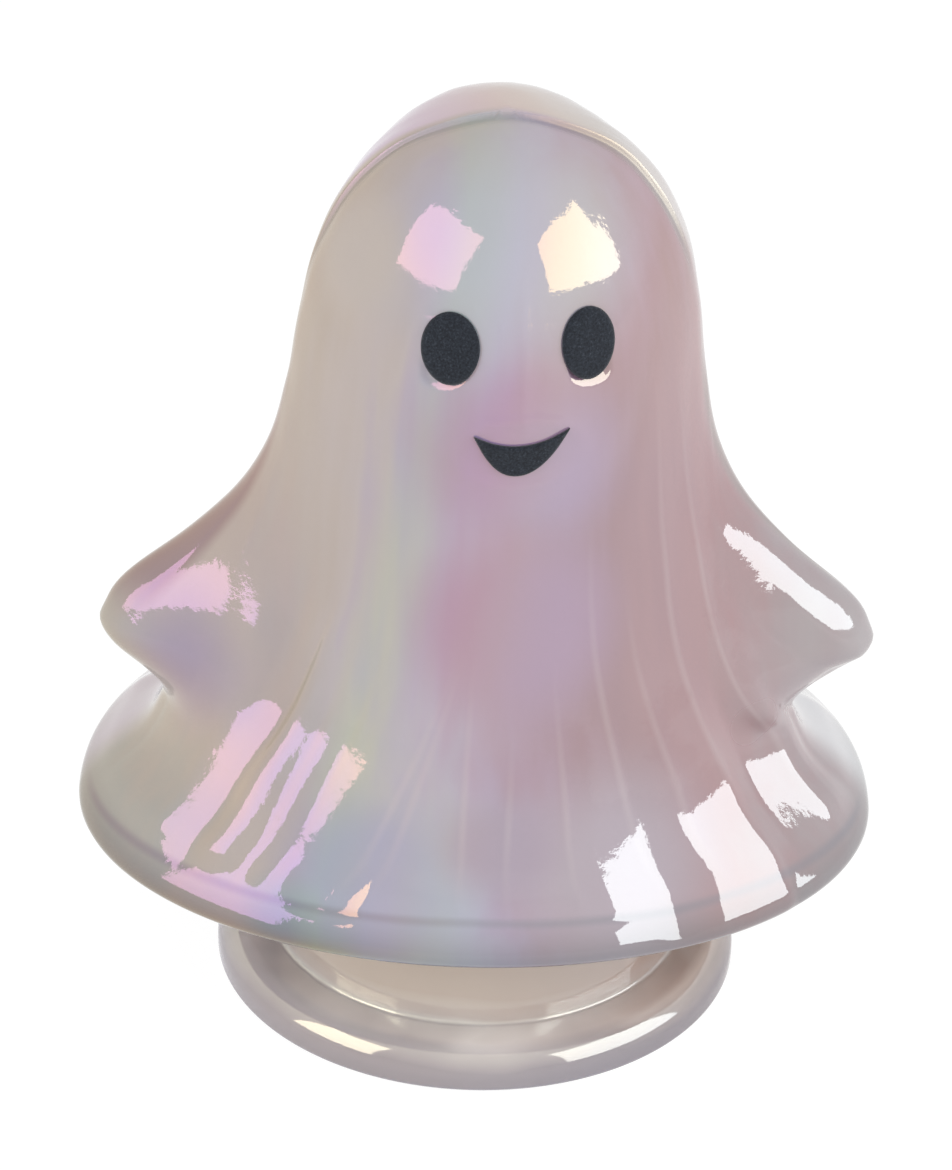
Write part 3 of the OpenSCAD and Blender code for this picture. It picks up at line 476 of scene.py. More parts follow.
def along(rows, s):
    """Smooth curve through the rows, with s counting them from the crown: a Catmull-Rom spline."""
    last = len(rows) - 1
    i = np.minimum(np.floor(s).astype(int), last - 1)
    t = (s - i)[..., None]
    a, b, c, d = rows[np.maximum(i - 1, 0)], rows[i], rows[i + 1], rows[np.minimum(i + 2, last)]
    return 0.5 * (2 * b + (c - a) * t + (2 * a - 5 * b + 4 * c - d) * t ** 2
                  + (3 * b - a - 3 * c + d) * t ** 3)


def plain_skin(angle, s, inset=0.0):
    """Smooth skin of the ghost and, at each of its points, the place across, the height and the half width.

    Each height is an oval with its own half width, front and back reach. The sides are drawn out into arms
    and pinched to a ridge there, and the head is turned and leans.
    """
    height, half_w, front, back = np.moveaxis(along(profile(inset), s), -1, 0)
    c, q = np.cos(angle), np.sin(angle)
    soft = 1 - np.where(q > 0, BACK_FULLNESS * rise(*FULLNESS_SPAN, height), 0)
    above = rise(*ARM_SPAN, height)
    above = above / (1 + (np.maximum(height - ARM_LEVEL, 0) / ARM_SPREAD) ** ARM_POWER)
    below = rise(ARM_LEVEL - ARM_UNDER, ARM_LEVEL - ARM_TIP, height)
    arm = (np.where(c > 0, ARM_RIGHT, ARM_LEFT) - 2 * inset) * np.where(height > ARM_LEVEL, above, below)
    x = np.sign(c) * np.abs(c) ** soft * half_w + c * np.abs(c) ** ARM_POINT * arm
    pinch = 1 - SIDE_PINCH * c ** PINCH_POWER * rise(*PINCH_SPAN, height)
    y = np.sign(q) * np.abs(q) ** soft * np.where(q < 0, front, back) * pinch
    turn = np.radians(HEAD_TURN) * rise(*TURN_SPAN, height)
    shift = HEM_SHIFT + LEAN * rise(*LEAN_SPAN, height)
    point = np.stack([x * np.cos(turn) - y * np.sin(turn) + shift, x * np.sin(turn) + y * np.cos(turn),
                      FLOOR_Z + height], -1)
    return point, x, height, half_w


def between(foot, top, height):
    """Share of a form that comes in over the heights foot and goes again over the heights top."""
    return rise(*foot, height) * rise(*top, height)


def bell(x, half):
    """Bell curve that is 1 at the middle."""
    return np.exp(-(x / half) ** 2)


def oval(x, height, centre_x, centre_h, width, tall, tilt):
    """Distance from an oval's middle in units of its own half axes, with the oval tilted clockwise."""
    turn = np.radians(tilt)
    dx, dh = x - centre_x, height - centre_h
    across = (dx * np.cos(turn) - dh * np.sin(turn)) / (width / 2)
    up = (dx * np.sin(turn) + dh * np.cos(turn)) / (tall / 2)
    return np.hypot(across, up)


def folds_out(folds, bearing, height, half_w):
    """Height of the highest fold: each is a soft-crested ridge along a slanting line, fading at both ends."""
    best = np.zeros_like(height)
    for hem, top, reach, ridge, half in folds:
        line = np.radians(hem + (top - hem) * np.clip((height - FOLD_FOOT[0]) / (reach - FOLD_FOOT[0]), 0, 1))
        off = (bearing - line) * half_w / half
        crest = ridge * np.exp(1 - np.sqrt(1 + 2 * off ** 2))
        best = np.maximum(best, crest * rise(*FOLD_FOOT, height) * rise(reach, FOLD_FADE * reach, height))
    return best


def pleats_out(degrees, height):
    """Height of the pleats: straight slopes from each crest or valley line to the next, a little rounded."""
    up = np.clip((height - PLEAT_MARK[0]) / (PLEAT_MARK[1] - PLEAT_MARK[0]), 0, PLEAT_LAST)
    lines = [(hem + (top - hem) * up, level) for hem, top, level in PLEATS]
    out = np.zeros_like(height)
    for shift in PLEAT_ROUNDING:
        for (here, low), (there, high) in zip(lines, lines[1:]):
            slope = np.clip((degrees + shift - here) / (there - here), 0, 1)
            out = out + (high - low) * slope / len(PLEAT_ROUNDING)
    low = np.where(degrees < 0, 0, rise(*PLEAT_FOOT_SPAN, degrees))
    foot = low * rise(*PLEAT_FOOT_RIGHT, height) + (1 - low) * rise(*PLEAT_FOOT_SIDES, height)
    return out * foot * np.where(degrees < 0, rise(*PLEAT_TOP, height), rise(*PLEAT_TOP_RIGHT, height))


def skirt_relief(degrees, height):
    """Front of the skirt: pleats, hips that hollow out upwards, the left armpit and a drop of glass."""
    out = pleats_out(degrees, height)
    for middle, half, reach, turn, top in HIPS:
        hip = between(HIP_FOOT, top, height) * (1 - 2 * rise(*turn, height))
        out = out + reach * hip * bell(degrees - middle, half)
    middle, half, depth = ARMPIT
    out = out - depth * bell(degrees - middle, half) * between(ARMPIT_FOOT, ARMPIT_TOP, height)
    middle, level, half, reach = DROP
    return out + reach * bell(degrees - middle, half) * bell(height - level, half)


def sleeve_relief(x, height):
    """Sleeves: the hollow under the lit edge of the right one, and the rounded ends of both."""
    under = (SLEEVE_EDGE - x - SLEEVE_SLOPE * height) / np.hypot(1, SLEEVE_SLOPE)
    out = SLEEVE_CREST_OUT * bell(under - SLEEVE_CREST, SLEEVE_CREST_HALF) * rise(*SLEEVE_CREST_SIDE, x)
    out = out - SLEEVE_STEEP * np.clip(under, 0, SLEEVE_DROP) * rise(*SLEEVE_SIDE, x)
    out = out * between(SLEEVE_FOOT, SLEEVE_TOP, height)
    for middle, level, reach in CUFFS:
        out = out + reach * bell(x - middle, CUFF_W) * bell(height - level, CUFF_H)
    return out


def seam_relief(point, side, height):
    """Step of the mould's seam over the crown and along the arms: the front half stands lower there."""
    behind = point[..., 1] - SEAM_Y - SEAM_SLOPE * point[..., 0]
    crown = SEAM_CROWN * rise(*SEAM_CROWN_FOOT, height)
    sleeve = SEAM_SLEEVE * between(SEAM_SLEEVE_FOOT, SEAM_SLEEVE_TOP, height)
    sleeve = sleeve * rise(*SEAM_SIDE, side)
    return -(crown + sleeve) * rise(SEAM_HALF, -SEAM_HALF, behind) * np.exp(np.minimum(behind, 0) / SEAM_FADE)


def lids_in(x, height):
    """Depth of the two lower lids: a rounded step under each eye, square to its oval, soft at both ends."""
    out = np.zeros_like(height)
    for eye_x, eye_h, tilt, shift in EYES:
        lip = rise(*LIP_EDGE, oval(x, height, eye_x + shift, eye_h, EYE_W + LIP_WIDER, EYE_H, tilt))
        lip = lip * rise(*LIP_LEVEL, height - eye_h) * rise(*LIP_SIDE, np.abs(x - eye_x - shift / 2))
        out = out + LIP_DEPTH * lip
    return out


def face_relief(x, height):
    """Face: its swell, keel, brow and nose, the eye sockets with their lower lips, and the lips' roll."""
    out = FACE_OUT * rise(*FACE_EDGE, oval(x, height, *FACE))
    out = out + KEEL_OUT * bell(x - KEEL_X, KEEL_HALF) * between(KEEL_FOOT, KEEL_TOP, height)
    out = out + BROW_OUT * between(BROW_FOOT, BROW_TOP, height) * rise(*BROW_SIDE, np.abs(x))
    out = out + NOSE_OUT * bell(x - NOSE_X, NOSE_HALF) * between(NOSE_FOOT, NOSE_TOP, height)
    for eye_x, eye_h, tilt, shift in EYES:
        out = out - SOCKET_DEPTH * bell(oval(x, height, eye_x, eye_h, SOCKET_W, SOCKET_H, tilt), 1)
    roll = oval(x, height, MOUTH_X, MOUTH_Y - ROLL_DROP, ROLL_W, ROLL_H, 0.0)
    return out + ROLL_OUT * bell(roll - 1, ROLL_HALF) - lids_in(x, height)


def relief(point, x, height, half_w, ahead):
    """How far the modelled glass stands out from the plain skin, in millimetres.

    The front adds pleats, folds, sleeves and the face, and the back its folds. The crease over the hem,
    the mould's seam and the slow ripple of blown glass run all round.
    """
    bearing = np.arcsin(np.clip(x / half_w, -1, 1))
    before = folds_out(FRONT_FOLDS, bearing, height, half_w) + skirt_relief(np.degrees(bearing), height)
    before = before + sleeve_relief(x, height) + face_relief(x, height)
    after = np.where(ahead > 0, 0, folds_out(BACK_FOLDS, bearing, height, half_w))
    out = before * rise(*FRONT_SPAN, ahead) + after * rise(*FRONT_SPAN, -ahead)
    crease = HEM_LINE - HEM_LINE_DROP * np.abs(bearing) / (np.pi / 2)
    aside = rise(*HEM_LINE_SIDE, np.degrees(np.abs(bearing)))
    out = out - HEM_LINE_DEPTH * bell(height - crease, HEM_LINE_HALF) * aside
    out = out + seam_relief(point, np.abs(x) / half_w, height)
    ripple = 1.0
    for around, upward in zip(RIPPLE_ROUND, RIPPLE_UP):
        ripple = ripple * np.sin(around * bearing + upward * height)
    return out + RIPPLE * ripple * between(RIPPLE_FOOT, RIPPLE_TOP, height)


def glass(angle, s, inset=0.0):
    """Face of the glass, drawn in by inset, and its outward direction: skin with the relief square to it."""
    step = 1e-3
    point, x, height, half_w = plain_skin(angle, s)
    inside = np.clip(s, step, len(profile(0)) - 1 - step)
    down = plain_skin(angle, inside + step)[0] - plain_skin(angle, inside - step)[0]
    across = plain_skin(angle + step, inside)[0] - plain_skin(angle - step, inside)[0]
    out = np.cross(down, across)
    out = out / np.maximum(np.linalg.norm(out, axis=-1, keepdims=True), 1e-12)
    raised = out * relief(point, x, height, half_w, -np.sin(angle))[..., None]
    return plain_skin(angle, s, inset)[0] + raised, out


def skin_place(angle, s):
    """Bearing in degrees, height in millimetres and share of the way to the front, at each place."""
    _, x, height, half_w = plain_skin(angle, s)
    bearing = np.arcsin(np.clip(x / np.maximum(half_w, 1e-9), -1, 1))
    return np.stack([np.degrees(bearing), height, -np.sin(angle)], -1)


def row_of(height, rows):
    """Row count s at a height, read off a fine run of the profile."""
    run = np.linspace(0, len(rows) - 1, RUN_STEPS)
    return np.interp(-np.asarray(height), -along(rows, run)[:, 0], run)


# Colours of the milk from side to side, as shares of its width: first the front's, then the back's
MILK_HALF = 85.0
FRONT_MILK = (
    (0.0, "#9da69b"), (1.0, "#9f9696"), (0.15, "#b3ac9b"), (0.24, "#ada79b"), (0.29, "#acaa9f"),
    (0.35, "#b0afa9"), (0.4, "#a7a5b0"), (0.44, "#a49cb0"), (0.49, "#a08aa4"), (0.56, "#9c798b"),
    (0.65, "#936a70"), (0.76, "#9c7173"), (0.87, "#998486"),
)
# The back's colours are paler: partly the lustre's tint, partly painted light for the glow at the edges and a
# highlight on the hood.
BACK_MILK_AND_EDGE_LIGHT = (
    (0.1, "#bcbcc6"), (0.9, "#cac7ca"), (0.3, "#c9c2dd"), (0.4, "#cbc0d8"), (0.5, "#d2c5cc"),
    (0.62, "#c4bcbb"),
)
# Slide of the front's colours on the head and at the hem: two levels over which it comes in, and its share
SLIDES = ((140, 190, -0.09), (90, 45, -0.06))
# Drawn-out clouds and streaks that stir the colours: width, stretch, and the share by which they stir
CLOUD_W, CLOUD_STRETCH, STREAK_W, STREAK_STRETCH, STIR = 38.0, 0.35, 7.0, 0.06, 0.07
# Depth at which the back's colours start, and where they are full, on the body and on the head above it
BACK_START, BACK_FULL, BACK_LEVELS = -2.8, (11.0, 0.5), (150.0, 175.0)
# Soft clouds of colour: middle, reach of the full colour and of its last trace, and colour
CLOUDS = (
    ((2, -26, 184), 10, 36, "#a9adb8"), ((7, -37, 140), 8, 27, "#9f85a2"),
    ((7, -43, 104), 10, 28, "#9d7b95"), ((-20, -52, 48), 10, 26, "#989cb1"),
    ((28, -48, 51), 8, 30, "#a3919c"), ((-58, -12, 77), 3, 20, "#9995a0"),
    ((-38, -47, 38), 3, 12, "#8da19a"), ((4, -51, 58), 4, 16, "#9a8597"),
    ((-26, -17, 174), 6, 18, "#b3b2aa"),
)
# Painted highlights on the crests of the folds: width as a share of the fold's, heights where they come in,
# share and colour
CREST_HIGHLIGHT_HALF, CREST_HIGHLIGHT_FOOT, CREST_HIGHLIGHT_SHARE, CREST_HIGHLIGHT_COLOUR = 0.8, (11.0, 30.0), 0.16, "#cbbbb9"
# Painted shade in the crease over the hem: half width, share and colour
CREASE_SHADE_HALF, CREASE_SHADE_SHARE, CREASE_SHADE_COLOUR = 1.2, 0.45, "#726e7b"
# Painted shadow along the front of the seam's step on the head, where the glass is also dull: its two edges,
# its heights, and its share on the left and on the right
SEAM_LINE = ((SEAM_Y - 3.5, SEAM_Y - 0.6), (SEAM_Y + 0.6, SEAM_Y - 0.2))
SEAM_HEAD, SEAM_SHADOW_ACROSS, SEAM_SHADOW_SHARES, SEAM_SHADOW_COLOUR = (125.0, 140.0), (-25.0, 12.0), (0.12, 0.6), "#7d7a80"
# Painted shade along the back edge of the sleeves: its two edges, distance from the middle, heights, share
# and colour
BACK_EDGE, BACK_EDGE_OUT = ((SEAM_Y - 3, SEAM_Y), (SEAM_Y + 14, SEAM_Y + 4)), (30.0, 42.0)
BACK_EDGE_FOOT, BACK_EDGE_TOP = (47.0, 60.0), (122.0, 100.0)
BACK_EDGE_SHADE_SHARE, BACK_EDGE_SHADE_COLOUR = 0.7, "#86746f"
# Roughness of the glass and of its dull places, and the right armpit, which the fumes missed: middle,
# reach of the dull glass and of its last trace, and share
GLOSSY, DULL = 0.05, 0.5
DULL_SPOT, DULL_NEAR, DULL_FAR, DULL_SHARE = (55.4, -16.5, 67.7), 3.5, 9.5, 0.7
# Shade at the rim under the hem
RIM_LEVELS, RIM_SHADE = (36.0, 45.0), "#bfc4c4"
# Film: levels of its foot and head, where its middle lies across at those, and half width of its change
FILM_LEVELS, FILM_MIDDLE, FILM_HALF = (45.0, 185.0), (-18.0, 9.0), 22.0
# Its thickness in nanometres on the left and on the right, each on the body and on the head, and its patches
FILM_HEAD, FILM_THICK, FILM_THIN, FILM_PATCHES = (130.0, 170.0), (143.5, 139.5), (66.0, 86.0), 1.5
# Light that the film lets through to the milk from left to right: the complement of what it throws back
FILM_PASSES = (
    (0.05, "#000000"), (0.73, "#000000"), (0.18, "#004500"), (0.3, "#00433a"), (0.41, "#003256"),
    (0.5, "#001a50"), (0.59, "#000038"),
)
# Fine ripple of the surface: width of its waves, and their height
FINE_RIPPLE_W, FINE_RIPPLE = 2.5, 0.1


def milk_colour(tree, place, axes, cloud):
    """Colour of the milk, and the share by which a place lies behind the seam.

    The front's colours run across, slide over on the head and at the hem, and are stirred by clouds and
    streaks. The back has colours of its own, partly tint and partly painted light, and soft clouds of colour
    lie over both.
    """
    across = add_node(tree, "MapRange", {"From Min": -MILK_HALF, "From Max": MILK_HALF},
                      {"Value": axes["X"]})
    upright = add_node(tree, "Mapping", {"Scale": (1.0, 1.0, STREAK_STRETCH)}, {"Vector": place})
    streak = add_node(tree, "TexNoise", {"Scale": 1 / STREAK_W, "Detail": 2.0}, {"Vector": upright})
    moves = [add_node(tree, "MapRange", {"From Min": low, "From Max": high, "To Max": slide},
                      {"Value": axes["Z"]}, interpolation_type="SMOOTHSTEP") for low, high, slide in SLIDES]
    moves += [add_node(tree, "MapRange", {"To Min": -STIR, "To Max": STIR}, {"Value": grain})
              for grain in (cloud, streak)]
    order = across
    for move in moves:
        order = add_node(tree, "Math", links={0: order, 1: move})
    front = add_node(tree, "ValToRGB", links={"Fac": order}, stops=FRONT_MILK)
    rear_and_edge_light = add_node(tree, "ValToRGB", links={"Fac": across}, stops=BACK_MILK_AND_EDGE_LIGHT)
    full = add_node(tree, "MapRange",
                    {"From Min": BACK_LEVELS[0], "From Max": BACK_LEVELS[1],
                     "To Min": BACK_FULL[0], "To Max": BACK_FULL[1]}, {"Value": axes["Z"]})
    behind = add_node(tree, "MapRange", {"From Min": BACK_START}, {"Value": axes["Y"], "From Max": full},
                      interpolation_type="SMOOTHSTEP")
    colour = add_node(tree, "Mix", links={"Factor": behind, 6: front, 7: rear_and_edge_light}, data_type="RGBA")
    for spot, near, far, tint in CLOUDS:
        away = add_node(tree, "VectorMath", {1: spot}, {0: place}, operation="DISTANCE")
        share = add_node(tree, "MapRange", {"From Min": far, "From Max": near}, {"Value": away},
                         interpolation_type="SMOOTHSTEP")
        colour = add_node(tree, "Mix", {7: linear(tint)}, {"Factor": share, 6: colour}, data_type="RGBA")
    return colour, behind


def fold_crest_highlights(tree, skin):
    """Share of the painted highlight on a crest at each place on the front: the highest over its folds, each
    fading upwards.
    """
    best = None
    for hem_bearing, top_bearing, reach, _, half in FRONT_FOLDS:
        line = add_node(tree, "MapRange",
                        {"From Min": FOLD_FOOT[0], "From Max": reach,
                         "To Min": hem_bearing, "To Max": top_bearing}, {"Value": skin["Y"]})
        off = add_node(tree, "Math", links={0: skin["X"], 1: line}, operation="SUBTRACT")
        off = add_node(tree, "Math", links={0: off}, operation="ABSOLUTE")
        crest = add_node(tree, "MapRange", {"From Min": CREST_HIGHLIGHT_HALF * half, "From Max": 0.0}, {"Value": off},
                         interpolation_type="SMOOTHSTEP")
        fade = add_node(tree, "MapRange", {"From Min": reach, "From Max": FOLD_FADE * reach},
                        {"Value": skin["Y"]}, interpolation_type="SMOOTHSTEP")
        crest = add_node(tree, "Math", links={0: crest, 1: fade}, operation="MULTIPLY")
        best = crest if best is None else add_node(tree, "Math", links={0: best, 1: crest},
                                                   operation="MAXIMUM")
    return best


def lustre_glass():
    """Milky blown glass under a fumed pearl film.

    The film is thick on the left and thin on the right, so it throws back lilac, then peach, then white,
    and the milk under it takes soft greens, blues, mauves and roses in turn. The crests carry a painted
    highlight, and the crease, the seam and the sleeves' back edge painted shade: each is the product of steps
    along a measure.
    """
    material, tree = new_material("fumed_milk_glass")
    place = add_node(tree, "TexCoord").outputs["Object"]
    place = add_node(tree, "VectorMath", {"Scale": 1 / MM}, {0: place}, operation="SCALE")
    axes = add_node(tree, "SeparateXYZ", links={"Vector": place}).outputs
    drawn = add_node(tree, "Mapping", {"Scale": (1.0, 1.0, CLOUD_STRETCH)}, {"Vector": place})
    cloud = add_node(tree, "TexNoise", {"Scale": 1 / CLOUD_W, "Detail": 2.0}, {"Vector": drawn})
    body, behind = milk_colour(tree, place, axes, cloud)

    skin = add_node(tree, "Attribute", attribute_name="skin_place").outputs["Vector"]
    skin = add_node(tree, "SeparateXYZ", links={"Vector": skin}).outputs
    back = add_node(tree, "VectorMath", {1: (-SEAM_SLOPE, 1.0, 0.0)}, {0: place}, operation="DOT_PRODUCT")
    out, turned_by = (add_node(tree, "Math", links={0: across}, operation="ABSOLUTE")
                      for across in (axes["X"], skin["X"]))
    crease = add_node(tree, "MapRange",
                      {"From Max": 90.0, "To Min": HEM_LINE, "To Max": HEM_LINE - HEM_LINE_DROP},
                      {"Value": turned_by})
    off = add_node(tree, "Math", links={0: skin["Y"], 1: crease}, operation="SUBTRACT")
    off = add_node(tree, "Math", links={0: off}, operation="ABSOLUTE")
    # Each step: what is measured, where it starts and ends, how far it rises, and its form
    front = (skin["Z"], 0.0, FRONT_SPAN[1], 1.0, "LINEAR")
    steps = {
        "crest": (front, (skin["Y"], *CREST_HIGHLIGHT_FOOT, CREST_HIGHLIGHT_SHARE, "LINEAR")),
        "crease": (front, (off, CREASE_SHADE_HALF, 0.0, CREASE_SHADE_SHARE, "SMOOTHSTEP")),
        "seam": (*((back, *span, 1.0, "SMOOTHSTEP") for span in SEAM_LINE),
                 (skin["Y"], *SEAM_HEAD, 1.0, "LINEAR")),
        "edge": (*((back, *span, 1.0, "SMOOTHSTEP") for span in BACK_EDGE),
                 (out, *BACK_EDGE_OUT, 1.0, "SMOOTHSTEP"),
                 (skin["Y"], *BACK_EDGE_FOOT, BACK_EDGE_SHADE_SHARE, "SMOOTHSTEP"),
                 (skin["Y"], *BACK_EDGE_TOP, 1.0, "SMOOTHSTEP")),
    }
    share = {"crest": fold_crest_highlights(tree, skin)}
    for mark, row in steps.items():
        for value, low, high, most, form in row:
            step = add_node(tree, "MapRange", {"From Min": low, "From Max": high, "To Max": most},
                            {"Value": value}, interpolation_type=form)
            share[mark] = step if mark not in share else add_node(
                tree, "Math", links={0: share[mark], 1: step}, operation="MULTIPLY")
    seam_shadow_share = add_node(tree, "MapRange",
                          {"From Min": SEAM_SHADOW_ACROSS[0], "From Max": SEAM_SHADOW_ACROSS[1],
                           "To Min": SEAM_SHADOW_SHARES[0], "To Max": SEAM_SHADOW_SHARES[1]},
                          {"Value": axes["X"]}, interpolation_type="SMOOTHSTEP")
    seam_shadow = add_node(tree, "Math", links={0: share["seam"], 1: seam_shadow_share}, operation="MULTIPLY")
    # Painted highlight on the crests, painted shade in the crease, painted shadow at the seam's step and
    # painted shade on the sleeves' back edge.
    for colour, amount in ((CREST_HIGHLIGHT_COLOUR, share["crest"]), (CREASE_SHADE_COLOUR, share["crease"]),
                           (SEAM_SHADOW_COLOUR, seam_shadow), (BACK_EDGE_SHADE_COLOUR, share["edge"])):
        body = add_node(tree, "Mix", {7: linear(colour)}, {"Factor": amount, 6: body}, data_type="RGBA")

    away = add_node(tree, "VectorMath", {1: DULL_SPOT}, {0: place}, operation="DISTANCE")
    dull = add_node(tree, "MapRange", {"From Min": DULL_FAR, "From Max": DULL_NEAR, "To Max": DULL_SHARE},
                    {"Value": away}, interpolation_type="SMOOTHSTEP")
    dull = add_node(tree, "Math", links={0: share["seam"], 1: dull}, operation="MAXIMUM")
    matt = add_node(tree, "MapRange", {"To Min": GLOSSY, "To Max": DULL}, {"Value": dull})
    rim = add_node(tree, "MapRange", {"From Min": RIM_LEVELS[0], "From Max": RIM_LEVELS[1]},
                   {"Value": axes["Z"]}, interpolation_type="SMOOTHSTEP")
    shade = add_node(tree, "ValToRGB", links={"Fac": rim}, stops=((0.0, RIM_SHADE), (1.0, "#ffffff")))
    body = add_node(tree, "Mix", {"Factor": 1.0}, {6: body, 7: shade}, data_type="RGBA",
                    blend_type="MULTIPLY")

    middle = add_node(tree, "MapRange",
                      {"From Min": FILM_LEVELS[0], "From Max": FILM_LEVELS[1],
                       "To Min": FILM_MIDDLE[0], "To Max": FILM_MIDDLE[1]}, {"Value": axes["Z"]})
    aside = add_node(tree, "Math", links={0: axes["X"], 1: middle}, operation="SUBTRACT")
    passing = add_node(tree, "MapRange", {"From Min": -FILM_HALF, "From Max": FILM_HALF}, {"Value": aside})
    passed = add_node(tree, "ValToRGB", links={"Fac": passing}, stops=FILM_PASSES)
    ahead = add_node(tree, "Math", {0: 1.0}, {1: behind}, operation="SUBTRACT")
    body = add_node(tree, "Mix", links={"Factor": ahead, 6: body, 7: passed}, data_type="RGBA",
                    blend_type="ADD")
    thick, thin = (
        add_node(tree, "MapRange",
                 {"From Min": FILM_HEAD[0], "From Max": FILM_HEAD[1], "To Min": low, "To Max": high},
                 {"Value": axes["Z"]}) for low, high in (FILM_THICK, FILM_THIN))
    film = add_node(tree, "MapRange", {"From Min": -FILM_HALF, "From Max": FILM_HALF},
                    {"Value": aside, "To Min": thick, "To Max": thin}, interpolation_type="SMOOTHSTEP")
    patches = add_node(tree, "MapRange", {"To Min": -FILM_PATCHES, "To Max": FILM_PATCHES},
                       {"Value": cloud})
    film = add_node(tree, "Math", links={0: film, 1: patches})
    ripple = add_node(tree, "TexNoise", {"Scale": 1 / FINE_RIPPLE_W, "Detail": 3.0}, {"Vector": place})
    bump = add_node(tree, "Bump", {"Strength": 0.5, "Distance": FINE_RIPPLE * MM}, {"Height": ripple})
    shader = add_node(tree, "BsdfPrincipled", {"IOR": 1.5, "Thin Film IOR": 1.9},
                      {"Roughness": matt, "Base Color": body, "Normal": bump, "Thin Film Thickness": film})
    return surfaced(material, shader)


COLUMNS, OUTER_ROWS, INNER_ROWS = 432, 196, 24
# Columns stand closer at the front by this many degrees, and rows closer on the face by this share
FRONT_CROWDING = 20.0
FACE_CROWDING, FACE_CROWDING_FOOT, FACE_CROWDING_TOP = 0.8, (96, 104), (146, 138)
lap = np.linspace(-0.5, 0.5, COLUMNS, endpoint=False)
columns = np.radians(270 + 360 * lap - FRONT_CROWDING * np.sin(2 * np.pi * lap))
outer_rows, inner_rows = profile(0), profile(GLASS_T)
run = np.linspace(0, len(outer_rows) - 1, RUN_STEPS)
front_line = plain_skin(np.full_like(run, FRONT_ANGLE), run)[0]
front_height = front_line[1:, 2] - FLOOR_Z
crowding = 1 + FACE_CROWDING * between(FACE_CROWDING_FOOT, FACE_CROWDING_TOP, front_height)
length = np.concatenate([[0], np.cumsum(np.linalg.norm(np.diff(front_line, axis=0), axis=1) * crowding)])
outer_s = np.interp(np.linspace(0, length[-1], OUTER_ROWS + 1)[1:], length, run)
inner_s = np.linspace(row_of(GLASS_T, inner_rows), 0, INNER_ROWS + 1)[:-1]
opening = OPENING_R * np.stack([np.cos(columns), np.sin(columns)], -1)
sills = [np.concatenate([opening, np.full((COLUMNS, 1), z)], 1) for z in (FLOOR_Z, FLOOR_Z + GLASS_T)]
outer_places = np.meshgrid(columns, outer_s)
ghost_rings = np.concatenate([
    glass(*outer_places)[0], sills,
    glass(*np.meshgrid(columns, inner_s), GLASS_T)[0],
])
crown = [plain_skin(np.zeros(1), np.zeros(1), inset)[0][0] for inset in (0.0, GLASS_T)]
ghost = ring_piece("ghost_glass", ghost_rings, lustre_glass(), *crown)
on_skin = np.zeros((len(ghost.data.vertices), 3))
on_skin[:outer_places[0].size] = skin_place(*outer_places).reshape(-1, 3)
ghost.data.attributes.new("skin_place", "FLOAT_VECTOR", "POINT").data.foreach_set("vector", on_skin.ravel())
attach(ghost, "figure")
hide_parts("ghost_shell")


# Eyes and mouth
# Three thin pads of black flock: short fibres shot on to a tacky ground.
# Each is bonded in its shallow pocket in the face.
FLOCK_T, FLOCK_UNDER = 0.9, 0.05
FLOCK_RINGS, FLOCK_SIDES = 14, 96
# Rounded edge: share of the pad's reach at which it stands upright, and the power of its curve
FLOCK_EDGE, FLOCK_CURVE = 0.98, 12
# Grain of the fibres: its width and depth
FLOCK_GRAIN_W, FLOCK_RELIEF = 0.45, 0.15


def on_face(x, height, raised):
    """Points across the face at a height, raised off the glass square to it and bridging the lids."""
    s = row_of(height, outer_rows)
    half_w = along(outer_rows, s)[..., 1]
    point, out = glass(FRONT_ANGLE + np.arcsin(x / half_w), s)
    return point + out * (raised + lids_in(x, height))[..., None]


def eye_spots(eye, r, turn):
    """Places on an eye: an upright oval in polar form, its top leaning towards the nose."""
    eye_x, eye_h, tilt = eye[:3]
    lean = np.radians(tilt)
    dx, dh = r * np.cos(turn) * EYE_W / 2, r * np.sin(turn) * EYE_H / 2
    return eye_x + dx * np.cos(lean) + dh * np.sin(lean), eye_h - dx * np.sin(lean) + dh * np.cos(lean)


def mouth_spots(r, turn):
    """Places on the mouth: the strip between a shallow and a deep curve that meet in two sharp corners."""
    u = np.cos(turn)
    upper, lower = -MOUTH_DIP * (1 - u ** 2), -MOUTH_DROP * (1 - np.abs(u) ** MOUTH_FULLNESS)
    edge = np.where(np.sin(turn) > 0, upper, lower)
    middle = -(MOUTH_DIP + MOUTH_DROP) / 2
    x = r * u * MOUTH_W / 2
    return MOUTH_X + x, MOUTH_Y + middle + r * (edge - middle) + MOUTH_SLOPE * x


def flock_pad(name, spots, material):
    """A pad from rings that shrink to its middle: a top face with a rounded edge, and an underside."""
    turn = np.linspace(0, 2 * np.pi, FLOCK_SIDES, endpoint=False)
    swell = np.linspace(0, 1, FLOCK_RINGS + 1)[1:]
    top = np.sqrt(1 - (FLOCK_EDGE * swell) ** FLOCK_CURVE) * FLOCK_T
    r = np.concatenate([swell, swell[::-1]])[:, None]
    raised = np.concatenate([top, np.full(FLOCK_RINGS, FLOCK_UNDER)])[:, None] + 0 * turn
    rings = on_face(*spots(r, turn), raised)
    ends = [on_face(*spots(np.zeros(1), np.zeros(1)), np.array([z]))[0] for z in (FLOCK_T, FLOCK_UNDER)]
    return ring_piece(name, rings[:, ::-1], material, *ends)


